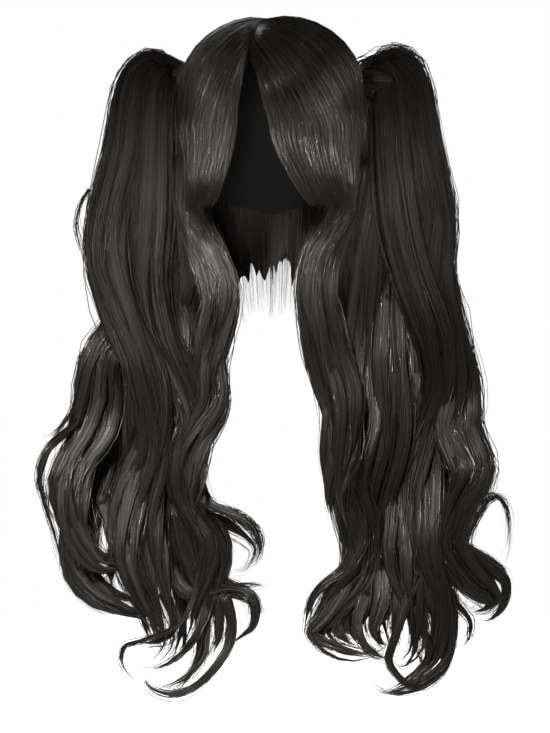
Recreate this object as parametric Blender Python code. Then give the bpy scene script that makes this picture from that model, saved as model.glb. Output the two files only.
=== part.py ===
"""Pigtail wig: a net cap, hair parted over it, two side locks and two long wavy pigtails on clips.

Frame: metres, +Z up, the face looks along -Y, the wearer's left is +X.
The origin is the inside of the cap at the top, where the head touches it.
"""

import math
from collections import namedtuple

import bmesh
import bpy
from mathutils import Vector

# Head and cap
HEAD_HALF_BREADTH = 0.076
HEAD_HALF_LENGTH = 0.096
HEAD_CROWN_HEIGHT = 0.095
HEAD_SQUARENESS = 2.5
CAP_WALL = 0.0015
CAP_DEPTH = 0.170
CAP_NARROWING = 0.12
CLEARANCE = 0.0004

# Hair that lies on the cap
HAIR_GAP = 0.0016
CROWN_HAIR = 0.0120
PART_WIDTH = 0.0034
PART_SHIFT = 0.018
PART_STRIP_THICKNESS = 0.0012
PART_DIP = 0.25
PART_RISE = 0.18
PART_CLOSING = 0.30
RIDGE_HEIGHT = 0.0012
RIDGE_RISE = 0.30
RIDGE_COUNT = 15
TIP_THINNING = 0.9
BANG_DROP = 0.082
BANG_SLOPE = 0.06
BANG_TIP_THICKNESS = 0.004
BANG_SWING_LEFT = 0.34
BANG_SWING_RIGHT = 0.56
BANG_SWING_POWER = 1.6
SIDE_RIM_DROP = 0.020
BACK_START = 0.66
BACK_BLEND = 0.10
BACK_HAIR_DROP = 0.165
BACK_TIP_THICKNESS = 0.005
FALL_NARROWING = 0.083

# Side locks
SIDE_LOCK_GAP = 0.005
SIDE_LOCK_DROP = 0.373
SIDE_LOCK_SWAY = 0.0475
SIDE_LOCK_X = 0.078
SIDE_LOCK_Y = -0.036
SIDE_LOCK_FORWARD = 0.030
SIDE_LOCK_BREADTH = 0.0475
SIDE_LOCK_FLATNESS = 0.42

# Pigtails
PIGTAIL_DROP = 0.618
PIGTAIL_REACH = 0.138
PIGTAIL_DEPTH = 0.120
PIGTAIL_TOP = -0.014
PIGTAIL_Y = 0.004
PIGTAIL_ROOT_X = 0.0895
FORE_WAVE = 0.09
FORE_WAVE_COUNT = 2.6
FORE_WAVE_START = 0.1
GATHER_FLATNESS = 0.95
LOCK_BREADTH = 0.0475
LOCK_FLATNESS = 0.58
TIP_BREADTH = 0.0030

# Clips that hold the pigtails
CLIP_HEIGHT = 0.026
CLIP_LENGTH = 0.040
CLIP_THICKNESS = 0.0045
CLIP_CORNER = 0.35
CLIP_SEAT = 0.8
CLIP_Z = -0.046

# Mesh density
CAP_COLUMNS = 28
CAP_ROWS = 8
BANG_COLUMNS = 9
CROWN_COLUMNS = 15
HAIR_ROWS_ON_HEAD = 7
HAIR_ROWS_BELOW = 5
PART_STRIP_STATIONS = 12
CLIP_CELLS = 6
CUTTER_COLUMNS = 20
CUTTER_ROWS = 10
LOCK_SIDES = 7
RINGS_PER_BEND = 1.2

HEAD_CENTRE = Vector((0, 0, -HEAD_CROWN_HEIGHT))
INNER_HAIR = CAP_WALL + HAIR_GAP

# How the lower edge of the cap runs round the head: angle from the front, share of CAP_DEPTH.
RimPoint = namedtuple("RimPoint", "angle depth")
CAP_RIM = [
    RimPoint(0, 0.17),
    RimPoint(30, 0.24),
    RimPoint(52, 0.46),
    RimPoint(72, 0.72),
    RimPoint(84, 0.70),
    RimPoint(104, 0.58),
    RimPoint(128, 0.74),
    RimPoint(152, 0.95),
    RimPoint(180, 1.00),
]

# How strands leave the part: share of the way from front to back, where on the part they start
# (degrees from the top, forwards) and where they pass the widest level (degrees from the front).
Flow = namedtuple("Flow", "share part_angle fall_angle_left fall_angle_right")
FLOWS = [
    Flow(0.00, 50, 18, -2),
    Flow(0.38, 25, 60, 60),
    Flow(0.65, 0, 110, 110),
    Flow(1.00, -30, 180, 180),
]
BANG_SHARE = 0.38

# A bend of a lock. Pigtails: shares of PIGTAIL_DROP, PIGTAIL_REACH, PIGTAIL_DEPTH and LOCK_BREADTH.
# Side locks: shares of SIDE_LOCK_DROP, SIDE_LOCK_SWAY, SIDE_LOCK_FORWARD and SIDE_LOCK_BREADTH.
Bend = namedtuple("Bend", "down out fore breadth")

# The bound root that all the locks of a pigtail leave from.
GATHER = [
    Bend(0.054, 0.01, 0.00, 0.70), Bend(0.054, 0.07, 0.00, 1.10),
    Bend(0.056, 0.15, 0.00, 1.16), Bend(0.056, 0.22, 0.00, 0.70),
]

LEFT_LOCKS = {
    "core": [
        Bend(0.050, 0.04, 0.00, 0.40), Bend(0.045, 0.20, 0.00, 0.80), Bend(0.10, 0.27, 0.02, 1.10),
        Bend(0.25, 0.29, 0.02, 1.20), Bend(0.40, 0.26, 0.00, 1.10), Bend(0.55, 0.22, 0.00, 1.10),
        Bend(0.70, 0.17, 0.00, 0.90), Bend(0.82, 0.15, 0.00, 0.60), Bend(0.90, 0.10, 0.00, 0.10),
    ],
    "outer_sweep": [
        Bend(0.050, 0.04, -0.02, 0.50), Bend(0.033, 0.18, -0.10, 0.80), Bend(0.07, 0.30, -0.18, 0.90),
        Bend(0.16, 0.35, -0.26, 1.00), Bend(0.26, 0.48, -0.30, 1.00), Bend(0.34, 0.47, -0.31, 0.95),
        Bend(0.43, 0.36, -0.31, 0.90), Bend(0.51, 0.19, -0.30, 0.80), Bend(0.61, 0.14, -0.28, 0.72),
        Bend(0.70, 0.22, -0.26, 0.68), Bend(0.79, 0.17, -0.24, 0.60), Bend(0.87, 0.06, -0.20, 0.42),
        Bend(0.915, 0.03, -0.18, 0.26), Bend(0.942, 0.14, -0.16, 0.14), Bend(0.952, 0.29, -0.14, 0.06),
    ],
    "inner_front": [
        Bend(0.055, 0.04, -0.05, 0.50), Bend(0.045, 0.12, -0.14, 0.70), Bend(0.09, 0.16, -0.22, 0.85),
        Bend(0.175, 0.165, -0.28, 0.95), Bend(0.27, 0.18, -0.30, 1.00), Bend(0.36, 0.20, -0.29, 0.95),
        Bend(0.45, 0.14, -0.27, 0.85), Bend(0.53, -0.04, -0.24, 0.80), Bend(0.58, -0.12, -0.22, 0.75),
        Bend(0.64, -0.06, -0.22, 0.68), Bend(0.70, -0.08, -0.22, 0.68), Bend(0.755, -0.25, -0.20, 0.62),
        Bend(0.81, -0.25, -0.18, 0.55), Bend(0.87, -0.17, -0.16, 0.46), Bend(0.93, -0.20, -0.16, 0.42),
        Bend(0.977, -0.08, -0.14, 0.28), Bend(0.990, 0.12, -0.12, 0.14), Bend(0.965, 0.21, -0.10, 0.06),
    ],
    "outer_bulge": [
        Bend(0.050, 0.04, 0.04, 0.40), Bend(0.033, 0.20, 0.04, 0.80), Bend(0.085, 0.33, 0.02, 0.72),
        Bend(0.19, 0.43, 0.00, 0.74), Bend(0.27, 0.53, 0.00, 0.72), Bend(0.33, 0.50, -0.01, 0.72),
        Bend(0.41, 0.385, -0.04, 0.72), Bend(0.475, 0.51, -0.08, 0.85), Bend(0.54, 0.54, -0.12, 0.88),
        Bend(0.60, 0.60, -0.16, 0.85), Bend(0.65, 0.71, -0.18, 0.75), Bend(0.70, 0.74, -0.18, 0.66),
        Bend(0.745, 0.69, -0.18, 0.60), Bend(0.785, 0.55, -0.20, 0.50), Bend(0.79, 0.42, -0.20, 0.36),
        Bend(0.765, 0.30, -0.22, 0.20), Bend(0.73, 0.22, -0.22, 0.06),
    ],
    "low_swirl": [
        Bend(0.055, 0.04, 0.06, 0.40), Bend(0.035, 0.22, 0.10, 0.60), Bend(0.13, 0.34, 0.10, 0.70),
        Bend(0.25, 0.42, 0.10, 0.70), Bend(0.375, 0.40, 0.08, 0.70), Bend(0.47, 0.40, 0.04, 0.70),
        Bend(0.56, 0.47, 0.02, 0.72), Bend(0.63, 0.57, 0.02, 0.75), Bend(0.70, 0.62, 0.02, 0.75),
        Bend(0.79, 0.68, 0.00, 0.72), Bend(0.845, 0.54, -0.04, 0.66), Bend(0.868, 0.31, -0.08, 0.55),
        Bend(0.880, 0.10, -0.10, 0.28), Bend(0.880, -0.03, -0.10, 0.06),
    ],
    "middle": [
        Bend(0.050, 0.05, -0.05, 0.40), Bend(0.045, 0.17, -0.08, 0.60), Bend(0.10, 0.23, -0.12, 0.70),
        Bend(0.24, 0.18, -0.14, 0.80), Bend(0.36, 0.12, -0.16, 0.80), Bend(0.45, 0.04, -0.16, 0.80),
        Bend(0.54, 0.06, -0.20, 0.80), Bend(0.62, 0.22, -0.24, 0.75), Bend(0.70, 0.34, -0.26, 0.70),
        Bend(0.79, 0.34, -0.24, 0.60), Bend(0.86, 0.20, -0.20, 0.45), Bend(0.90, 0.09, -0.18, 0.26),
        Bend(0.920, 0.22, -0.16, 0.12), Bend(0.935, 0.36, -0.14, 0.06),
    ],
    "inner_fall": [
        Bend(0.055, 0.05, 0.00, 0.40), Bend(0.060, 0.13, -0.04, 0.50), Bend(0.16, 0.06, -0.04, 0.60),
        Bend(0.25, 0.01, -0.04, 0.70), Bend(0.375, -0.05, -0.06, 0.75), Bend(0.47, -0.11, -0.08, 0.75),
        Bend(0.54, -0.18, -0.10, 0.70), Bend(0.605, -0.11, -0.10, 0.70), Bend(0.67, -0.06, -0.10, 0.65),
        Bend(0.720, -0.21, -0.12, 0.50), Bend(0.750, -0.43, -0.12, 0.28), Bend(0.775, -0.53, -0.12, 0.16),
        Bend(0.805, -0.47, -0.12, 0.12), Bend(0.812, -0.33, -0.12, 0.06),
    ],
    "inner_curl": [
        Bend(0.70, -0.02, -0.06, 0.50), Bend(0.77, -0.08, -0.06, 0.50), Bend(0.825, -0.17, -0.06, 0.32),
        Bend(0.833, -0.37, -0.06, 0.22), Bend(0.852, -0.52, -0.06, 0.16), Bend(0.890, -0.52, -0.06, 0.14),
        Bend(0.915, -0.40, -0.06, 0.10), Bend(0.932, -0.29, -0.06, 0.05),
    ],
    "back_outer": [
        Bend(0.050, 0.04, 0.06, 0.40), Bend(0.034, 0.20, 0.16, 0.70), Bend(0.09, 0.30, 0.26, 1.00),
        Bend(0.20, 0.38, 0.31, 1.05), Bend(0.32, 0.38, 0.32, 1.05), Bend(0.44, 0.30, 0.30, 1.00),
        Bend(0.56, 0.37, 0.28, 0.95), Bend(0.68, 0.42, 0.24, 0.85), Bend(0.78, 0.36, 0.20, 0.70),
        Bend(0.86, 0.24, 0.16, 0.50), Bend(0.92, 0.14, 0.12, 0.24), Bend(0.95, 0.22, 0.10, 0.06),
    ],
    "back_inner": [
        Bend(0.055, 0.04, 0.04, 0.40), Bend(0.050, 0.13, 0.14, 0.60), Bend(0.10, 0.19, 0.22, 0.80),
        Bend(0.20, 0.18, 0.26, 0.90), Bend(0.32, 0.12, 0.26, 0.95), Bend(0.44, 0.04, 0.24, 0.95),
        Bend(0.56, 0.06, 0.22, 0.90), Bend(0.68, 0.02, 0.18, 0.85), Bend(0.78, 0.00, 0.14, 0.75),
        Bend(0.86, -0.05, 0.10, 0.65), Bend(0.93, -0.02, 0.08, 0.45), Bend(0.975, 0.08, 0.06, 0.10),
    ],
}

RIGHT_LOCKS = {
    "core": [
        Bend(0.050, 0.04, 0.00, 0.40), Bend(0.045, 0.20, 0.00, 0.80), Bend(0.10, 0.27, 0.02, 1.10),
        Bend(0.25, 0.34, 0.02, 1.20), Bend(0.40, 0.36, 0.00, 1.20), Bend(0.55, 0.36, 0.00, 1.20),
        Bend(0.70, 0.30, 0.00, 1.10), Bend(0.82, 0.30, 0.00, 0.80), Bend(0.90, 0.30, 0.00, 0.10),
    ],
    "outer_sweep": [
        Bend(0.050, 0.04, -0.02, 0.50), Bend(0.028, 0.18, -0.08, 0.76), Bend(0.065, 0.32, -0.14, 0.80),
        Bend(0.16, 0.42, -0.20, 0.90), Bend(0.26, 0.50, -0.24, 0.90), Bend(0.347, 0.48, -0.26, 0.88),
        Bend(0.436, 0.56, -0.27, 0.88), Bend(0.52, 0.61, -0.28, 0.90), Bend(0.59, 0.66, -0.28, 0.95),
        Bend(0.65, 0.75, -0.28, 0.90), Bend(0.71, 0.64, -0.27, 0.80), Bend(0.765, 0.56, -0.26, 0.75),
        Bend(0.805, 0.68, -0.24, 0.85), Bend(0.826, 0.82, -0.16, 0.90), Bend(0.838, 0.86, 0.00, 0.80),
        Bend(0.855, 0.72, 0.10, 0.50), Bend(0.862, 0.58, 0.12, 0.08),
    ],
    "inner_front": [
        Bend(0.055, 0.04, -0.05, 0.50), Bend(0.045, 0.12, -0.14, 0.65), Bend(0.10, 0.16, -0.22, 0.82),
        Bend(0.19, 0.18, -0.28, 0.92), Bend(0.283, 0.23, -0.30, 1.00), Bend(0.375, 0.34, -0.31, 0.95),
        Bend(0.45, 0.46, -0.31, 0.85), Bend(0.53, 0.51, -0.30, 0.78), Bend(0.605, 0.43, -0.28, 0.72),
        Bend(0.68, 0.38, -0.26, 0.72), Bend(0.76, 0.41, -0.25, 0.72), Bend(0.836, 0.49, -0.22, 0.70),
        Bend(0.90, 0.52, -0.18, 0.55), Bend(0.945, 0.49, -0.16, 0.45), Bend(0.980, 0.32, -0.14, 0.30),
        Bend(0.990, 0.14, -0.12, 0.14), Bend(0.972, 0.00, -0.10, 0.06),
    ],
    "middle": [
        Bend(0.050, 0.05, -0.02, 0.40), Bend(0.040, 0.22, -0.05, 0.60), Bend(0.13, 0.31, -0.10, 0.80),
        Bend(0.237, 0.35, -0.12, 0.85), Bend(0.336, 0.38, -0.13, 0.85), Bend(0.42, 0.48, -0.14, 0.85),
        Bend(0.51, 0.50, -0.16, 0.85), Bend(0.59, 0.38, -0.20, 0.85), Bend(0.667, 0.27, -0.24, 0.80),
        Bend(0.743, 0.23, -0.26, 0.75), Bend(0.81, 0.27, -0.24, 0.65), Bend(0.874, 0.32, -0.20, 0.55),
        Bend(0.925, 0.33, -0.18, 0.35), Bend(0.950, 0.24, -0.16, 0.18), Bend(0.935, 0.14, -0.14, 0.06),
    ],
    "inner_fall": [
        Bend(0.060, 0.05, 0.00, 0.40), Bend(0.070, 0.12, -0.06, 0.50), Bend(0.16, 0.09, -0.10, 0.58),
        Bend(0.27, 0.03, -0.14, 0.66), Bend(0.38, -0.02, -0.18, 0.80), Bend(0.48, -0.05, -0.20, 0.90),
        Bend(0.574, -0.06, -0.22, 0.92), Bend(0.667, -0.13, -0.24, 0.90), Bend(0.75, -0.05, -0.26, 0.85),
        Bend(0.81, -0.10, -0.26, 0.76), Bend(0.86, -0.24, -0.24, 0.60), Bend(0.905, -0.32, -0.22, 0.40),
        Bend(0.932, -0.14, -0.20, 0.26), Bend(0.928, 0.07, -0.18, 0.14), Bend(0.908, 0.18, -0.16, 0.06),
    ],
    "between": [
        Bend(0.050, 0.06, 0.00, 0.40), Bend(0.050, 0.15, -0.04, 0.50), Bend(0.144, 0.20, -0.06, 0.60),
        Bend(0.267, 0.16, -0.10, 0.65), Bend(0.39, 0.16, -0.14, 0.75), Bend(0.48, 0.17, -0.18, 0.85),
        Bend(0.59, 0.16, -0.20, 0.88), Bend(0.68, 0.10, -0.20, 0.85), Bend(0.767, 0.03, -0.18, 0.85),
        Bend(0.83, -0.03, -0.16, 0.85), Bend(0.880, -0.10, -0.14, 0.60), Bend(0.915, 0.00, -0.12, 0.30),
        Bend(0.918, 0.14, -0.12, 0.08),
    ],
    "side_hook": [
        Bend(0.050, 0.05, 0.04, 0.40), Bend(0.036, 0.24, 0.08, 0.50), Bend(0.16, 0.40, 0.08, 0.60),
        Bend(0.30, 0.44, 0.06, 0.60), Bend(0.45, 0.55, 0.04, 0.60), Bend(0.58, 0.62, 0.02, 0.60),
        Bend(0.66, 0.66, -0.02, 0.50), Bend(0.705, 0.78, -0.04, 0.20), Bend(0.705, 0.90, -0.04, 0.11),
        Bend(0.725, 0.96, -0.04, 0.08), Bend(0.765, 0.96, -0.04, 0.06),
    ],
    "back_outer": [
        Bend(0.050, 0.04, 0.06, 0.40), Bend(0.034, 0.20, 0.16, 0.70), Bend(0.09, 0.30, 0.26, 1.00),
        Bend(0.20, 0.40, 0.31, 1.05), Bend(0.32, 0.41, 0.32, 1.05), Bend(0.44, 0.48, 0.30, 1.00),
        Bend(0.56, 0.52, 0.28, 0.95), Bend(0.68, 0.50, 0.24, 0.85), Bend(0.78, 0.44, 0.20, 0.70),
        Bend(0.86, 0.42, 0.16, 0.50), Bend(0.92, 0.40, 0.12, 0.25), Bend(0.95, 0.46, 0.10, 0.06),
    ],
    "back_inner": [
        Bend(0.055, 0.04, 0.04, 0.40), Bend(0.050, 0.13, 0.14, 0.60), Bend(0.10, 0.19, 0.22, 0.80),
        Bend(0.20, 0.18, 0.26, 0.90), Bend(0.32, 0.18, 0.26, 0.95), Bend(0.44, 0.16, 0.24, 0.95),
        Bend(0.56, 0.10, 0.22, 0.90), Bend(0.68, 0.08, 0.18, 0.85), Bend(0.78, 0.12, 0.14, 0.75),
        Bend(0.86, 0.10, 0.10, 0.60), Bend(0.93, 0.16, 0.08, 0.25), Bend(0.96, 0.24, 0.06, 0.06),
    ],
}

LEFT_SIDE_LOCK = [
    Bend(0.00, 0.00, 0.00, 0.62), Bend(0.12, -0.02, 0.12, 0.76), Bend(0.24, -0.34, 0.70, 0.80),
    Bend(0.35, -0.56, 1.00, 0.80), Bend(0.46, -0.42, 1.05, 0.70), Bend(0.54, -0.33, 1.05, 0.58),
    Bend(0.63, -0.42, 1.00, 0.60), Bend(0.74, -0.14, 0.95, 0.58), Bend(0.84, -0.10, 0.95, 0.42),
    Bend(0.94, 0.00, 0.90, 0.08),
]
RIGHT_SIDE_LOCK = [
    Bend(0.00, 0.00, 0.00, 0.62), Bend(0.12, -0.28, 0.12, 0.80), Bend(0.25, -0.68, 0.70, 0.84),
    Bend(0.35, -0.62, 1.00, 0.88), Bend(0.49, -0.38, 1.05, 0.92), Bend(0.61, -0.22, 1.05, 0.92),
    Bend(0.74, -0.20, 1.00, 0.80), Bend(0.88, -0.26, 0.95, 0.54), Bend(1.00, -0.16, 0.90, 0.08),
]


def clear_scene():
    for obj in list(bpy.data.objects):
        bpy.data.objects.remove(obj)


def make_material(name, colour, roughness, metallic=0.0):
    material = bpy.data.materials.new(name)
    material.use_nodes = True
    shader = material.node_tree.nodes["Principled BSDF"]
    shader.inputs["Base Color"].default_value = (*colour, 1)
    shader.inputs["Roughness"].default_value = roughness
    shader.inputs["Metallic"].default_value = metallic
    return material


def mix(a, b, share):
    return a + (b - a) * share


def smooth(share):
    share = min(1, max(0, share))
    return share * share * (3 - 2 * share)


def read_table(rows, key, column, at):
    """The value of a column where the key column is `at`, eased from row to row."""
    for low, high in zip(rows, rows[1:]):
        start, end = getattr(low, key), getattr(high, key)
        if at <= end:
            return mix(getattr(low, column), getattr(high, column), (at - start) / (end - start))
    return getattr(rows[-1], column)


def object_from(name, vertices, faces, material, flat_angle=50):
    mesh = bpy.data.meshes.new(name)
    mesh.from_pydata([tuple(v) for v in vertices], [], faces)
    shaper = bmesh.new()
    shaper.from_mesh(mesh)
    bmesh.ops.triangulate(shaper, faces=shaper.faces)
    bmesh.ops.recalc_face_normals(shaper, faces=shaper.faces)
    shaper.to_mesh(mesh)
    shaper.free()
    mesh.shade_smooth()
    mesh.set_sharp_from_angle(angle=math.radians(flat_angle))
    mesh.materials.append(material)
    obj = bpy.data.objects.new(name, mesh)
    bpy.context.scene.collection.objects.link(obj)
    return obj


def head_point(direction, height):
    """The point at `height` above the head, seen from the head's centre."""
    sizes = (HEAD_HALF_BREADTH, HEAD_HALF_LENGTH, HEAD_CROWN_HEIGHT)
    power = HEAD_SQUARENESS
    total = sum(abs(d / (s + height)) ** power for d, s in zip(direction, sizes))
    return HEAD_CENTRE + direction * total ** (-1 / power)


def fall_point(direction, height, drop, narrowing):
    """The point `drop` under the widest level of the head."""
    level = head_point(direction, height)
    share = drop / HEAD_CROWN_HEIGHT
    keep = 1 - narrowing * share * share
    return Vector((level.x * keep, level.y * keep, level.z - drop))


# The cap

def cap_point(angle, share, height):
    """angle runs from the front round the head; share runs from the top to the rim."""
    depth = CAP_DEPTH * read_table(CAP_RIM, "angle", "depth", abs(angle))
    z = -depth * (1 - math.cos(share * math.pi / 2))
    level = Vector((math.sin(math.radians(angle)), -math.cos(math.radians(angle)), 0))
    if z < -HEAD_CROWN_HEIGHT:
        below = -HEAD_CROWN_HEIGHT - z
        narrowing = CAP_NARROWING * (HEAD_CROWN_HEIGHT / (CAP_DEPTH - HEAD_CROWN_HEIGHT)) ** 2
        return fall_point(level, height, below, narrowing)
    rise = (z + HEAD_CROWN_HEIGHT) / HEAD_CROWN_HEIGHT
    keep = (1 - rise ** HEAD_SQUARENESS) ** (1 / HEAD_SQUARENESS)
    edge = head_point(level, height)
    top = HEAD_CROWN_HEIGHT + height
    return Vector((edge.x * keep, edge.y * keep, -HEAD_CROWN_HEIGHT + rise * top))


def make_cap(material):
    vertices = []
    faces = []
    angles = [360 * i / CAP_COLUMNS - 180 for i in range(CAP_COLUMNS)]
    for height in (CAP_WALL, 0):
        vertices.append(Vector((0, 0, height)))
        for row in range(1, CAP_ROWS + 1):
            vertices += [cap_point(angle, row / CAP_ROWS, height) for angle in angles]
    layer = 1 + CAP_ROWS * CAP_COLUMNS
    for start in (0, layer):
        for i in range(CAP_COLUMNS):
            j = (i + 1) % CAP_COLUMNS
            faces.append((start, start + 1 + i, start + 1 + j))
            for row in range(CAP_ROWS - 1):
                upper = start + 1 + row * CAP_COLUMNS
                lower = upper + CAP_COLUMNS
                faces.append((upper + i, lower + i, lower + j, upper + j))
    rim = 1 + (CAP_ROWS - 1) * CAP_COLUMNS
    for i in range(CAP_COLUMNS):
        j = (i + 1) % CAP_COLUMNS
        faces.append((rim + i, layer + rim + i, layer + rim + j, rim + j))
    return object_from("cap", vertices, faces, material)


# The hair that lies on the cap

def part_direction(part_angle):
    """A direction on the part line, which drifts to one side towards the front."""
    lean = math.radians(part_angle)
    widest = max(row.part_angle for row in FLOWS)
    shift = PART_SHIFT / HEAD_HALF_LENGTH * max(0, part_angle) / widest
    return Vector((-shift, -math.sin(lean), math.cos(lean))).normalized()


def strand_point(side, share, along, height, drop=0):
    """A point on the strand at `share` of the way from front to back.

    along runs from 0 at the part to 1 at the head's widest level, and drop is the fall below it.
    side is -1 or 1. The two sides keep apart by the width of the part, and close up at the back.
    """
    column = "fall_angle_left" if side < 0 else "fall_angle_right"
    fall_angle = math.radians(read_table(FLOWS, "share", column, share))
    start = part_direction(read_table(FLOWS, "share", "part_angle", share))
    end = Vector((side * math.sin(fall_angle), -math.cos(fall_angle), 0))
    if along < 1:
        point = head_point(start.slerp(end, along), height)
    else:
        point = fall_point(end, height, drop, FALL_NARROWING)
    half_gap = mix(PART_WIDTH / 2, CLEARANCE / 2, share * smooth(along / PART_CLOSING))
    return point + Vector((side * half_gap, 0, 0))


def bang_sweep(side, share, drop):
    """How far the fringe swings out to the side as it falls."""
    fall = min(1, drop / BANG_DROP)
    inner = 1 - share / BANG_SHARE
    reach = BANG_SWING_LEFT if side < 0 else BANG_SWING_RIGHT
    return side * HEAD_HALF_BREADTH * reach * fall ** BANG_SWING_POWER * inner


def bang_point(side, share, along, height, drop):
    point = strand_point(side, share, along, height, drop)
    sweep = bang_sweep(side, share, drop)
    front = HEAD_HALF_LENGTH + height
    turned = math.asin(max(-1, min(1, sweep / front)))
    return Vector((point.x + sweep, point.y * math.cos(turned), point.z))


def bang_drop(share):
    """The fringe is cut longer towards the temple."""
    inner = 1 - share / BANG_SHARE
    return BANG_DROP * (1 - BANG_SLOPE * inner)


def back_drop(share):
    """The hair stops above the ear and falls to its full length behind it."""
    return mix(SIDE_RIM_DROP, BACK_HAIR_DROP, smooth((share - BACK_START) / BACK_BLEND))


def hair_height(share, along, drop, full_drop, tip):
    """The outer height of the hair: low at the part, ridged on the head, thin at its ends."""
    rise = 1 - PART_DIP * (1 - smooth(along / PART_RISE))
    ridge = RIDGE_HEIGHT * math.cos(math.pi * RIDGE_COUNT * share) * smooth(along / RIDGE_RISE)
    body = CROWN_HAIR * rise + ridge
    thin = smooth(drop / full_drop) if full_drop else 0
    return mix(body, INNER_HAIR + tip, thin * TIP_THINNING)


def curtain(name, side, shares, point_at, drop_at, tip, material, grow=0.0):
    """A sheet of hair from the part to its ends, closed on all sides."""
    rows = [i / HAIR_ROWS_ON_HEAD for i in range(HAIR_ROWS_ON_HEAD)]
    rows += [1 + i / HAIR_ROWS_BELOW for i in range(HAIR_ROWS_BELOW + 1)]
    vertices = []
    for outside in (True, False):
        for share in shares:
            full = drop_at(share)
            for row in rows:
                along = min(1, row)
                drop = max(0, row - 1) * (full + grow)
                height = INNER_HAIR - grow
                if outside:
                    height = hair_height(share, along, drop, full, tip) + grow
                vertices.append(point_at(side, share, along, height, drop))
    columns, depth = len(shares), len(rows)
    layer = columns * depth
    faces = []
    for i in range(columns - 1):
        for j in range(depth - 1):
            a = i * depth + j
            b = a + depth
            faces.append((a, b, b + 1, a + 1))
            faces.append((layer + a, layer + a + 1, layer + b + 1, layer + b))
        for j in (0, depth - 1):
            a = i * depth + j
            b = a + depth
            faces.append((a, b, layer + b, layer + a))
    for i in (0, columns - 1):
        for j in range(depth - 1):
            a = i * depth + j
            faces.append((a, a + 1, layer + a + 1, layer + a))
    return object_from(name, vertices, faces, material)


def spread(low, high, count):
    return [mix(low, high, i / (count - 1)) for i in range(count)]


def make_bang(name, side, material, grow=0.0):
    margin = (CLEARANCE - grow) / HEAD_HALF_LENGTH
    shares = spread(0.0, BANG_SHARE - margin, BANG_COLUMNS)
    return curtain(name, side, shares, bang_point, bang_drop, BANG_TIP_THICKNESS, material, grow)


def make_crown(name, side, material):
    margin = CLEARANCE / HEAD_HALF_LENGTH
    shares = spread(BANG_SHARE + margin, 1.0, CROWN_COLUMNS)
    return curtain(name, side, shares, strand_point, back_drop, BACK_TIP_THICKNESS, material)


def make_part_strip(material):
    """The strip of skin-coloured net that shows along the part."""
    half = PART_WIDTH / 2 - CLEARANCE
    low, high = INNER_HAIR, INNER_HAIR + PART_STRIP_THICKNESS
    angles = spread(FLOWS[0].part_angle, FLOWS[-1].part_angle, PART_STRIP_STATIONS)
    vertices = []
    for angle in angles:
        direction = part_direction(angle)
        for height, x in ((low, -half), (low, half), (high, half), (high, -half)):
            vertices.append(head_point(direction, height) + Vector((x, 0, 0)))
    faces = [(0, 1, 2, 3)]
    for i in range(len(angles) - 1):
        a = 4 * i
        faces += [(a + k, a + (k + 1) % 4, a + 4 + (k + 1) % 4, a + 4 + k) for k in range(4)]
    last = 4 * (len(angles) - 1)
    faces.append((last + 3, last + 2, last + 1, last))
    return object_from("part_strip", vertices, faces, material)


# The clips

def side_direction(y, z):
    """The direction from the head's centre to the side of the crown at this depth and height."""
    rise = (z - HEAD_CENTRE.z) / (HEAD_CROWN_HEIGHT + CROWN_HAIR)
    depth = y / (HEAD_HALF_LENGTH + CROWN_HAIR)
    power = HEAD_SQUARENESS
    keep = max(0, 1 - abs(rise) ** power - abs(depth) ** power) ** (1 / power)
    return Vector((keep * (HEAD_HALF_BREADTH + CROWN_HAIR), y, z - HEAD_CENTRE.z))


def clip_base():
    """How high above the head a clip sits: on the ridges of the hair."""
    return CROWN_HAIR + CLIP_SEAT * RIDGE_HEIGHT + CLEARANCE


def side_shift(side):
    """How far the hair at the side of the head is shifted by the part."""
    return side * (PART_WIDTH + CLEARANCE) / 4


def make_clip(name, side, material, grow=0.0):
    """A plain curved plate that lies on the hair and carries the pigtail."""
    steps = CLIP_CELLS
    vertices = []
    for height in (clip_base() - grow, clip_base() + CLIP_THICKNESS + grow):
        for i in range(steps + 1):
            for j in range(steps + 1):
                across, up = 2 * i / steps - 1, 2 * j / steps - 1
                round_off = math.sqrt(1 - CLIP_CORNER * across * across)
                y = PIGTAIL_Y + across * (CLIP_LENGTH / 2 + grow)
                z = CLIP_Z + up * (CLIP_HEIGHT / 2 + grow) * round_off
                point = head_point(side_direction(y, z).normalized(), height)
                vertices.append(Vector((side * point.x + side_shift(side), point.y, point.z)))
    width = steps + 1
    layer = width * width
    faces = []
    for i in range(steps):
        for j in range(steps):
            a = i * width + j
            faces.append((a, a + 1, a + width + 1, a + width))
            faces.append((layer + a, layer + a + width, layer + a + width + 1, layer + a + 1))
        for a, b in (
            (i, i + 1),
            (steps * width + i, steps * width + i + 1),
            (i * width, (i + 1) * width),
            (i * width + steps, (i + 1) * width + steps),
        ):
            faces.append((a, b, layer + b, layer + a))
    return object_from(name, vertices, faces, material)


# The locks

def curve_through(bends, place, count):
    """Points and breadths along a smooth curve through the bends, evenly spaced in its parameter."""
    points = [place(bend) for bend in bends]
    breadths = [bend.breadth for bend in bends]

    def blend(values, index, share):
        p0 = values[max(0, index - 1)]
        p1 = values[index]
        p2 = values[index + 1]
        p3 = values[min(len(values) - 1, index + 2)]
        square, cube = share * share, share * share * share
        return (p1 * 2 + (p2 - p0) * share + (p0 * 2 - p1 * 5 + p2 * 4 - p3) * square
                + (p1 * 3 - p0 - p2 * 3 + p3) * cube) * 0.5

    made = []
    for i in range(count):
        at = i / (count - 1) * (len(bends) - 1)
        index = min(int(at), len(bends) - 2)
        share = at - index
        breadth = max(0.02, mix(breadths[index], breadths[index + 1], share))
        made.append((blend(points, index, share), breadth))
    return made


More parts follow.
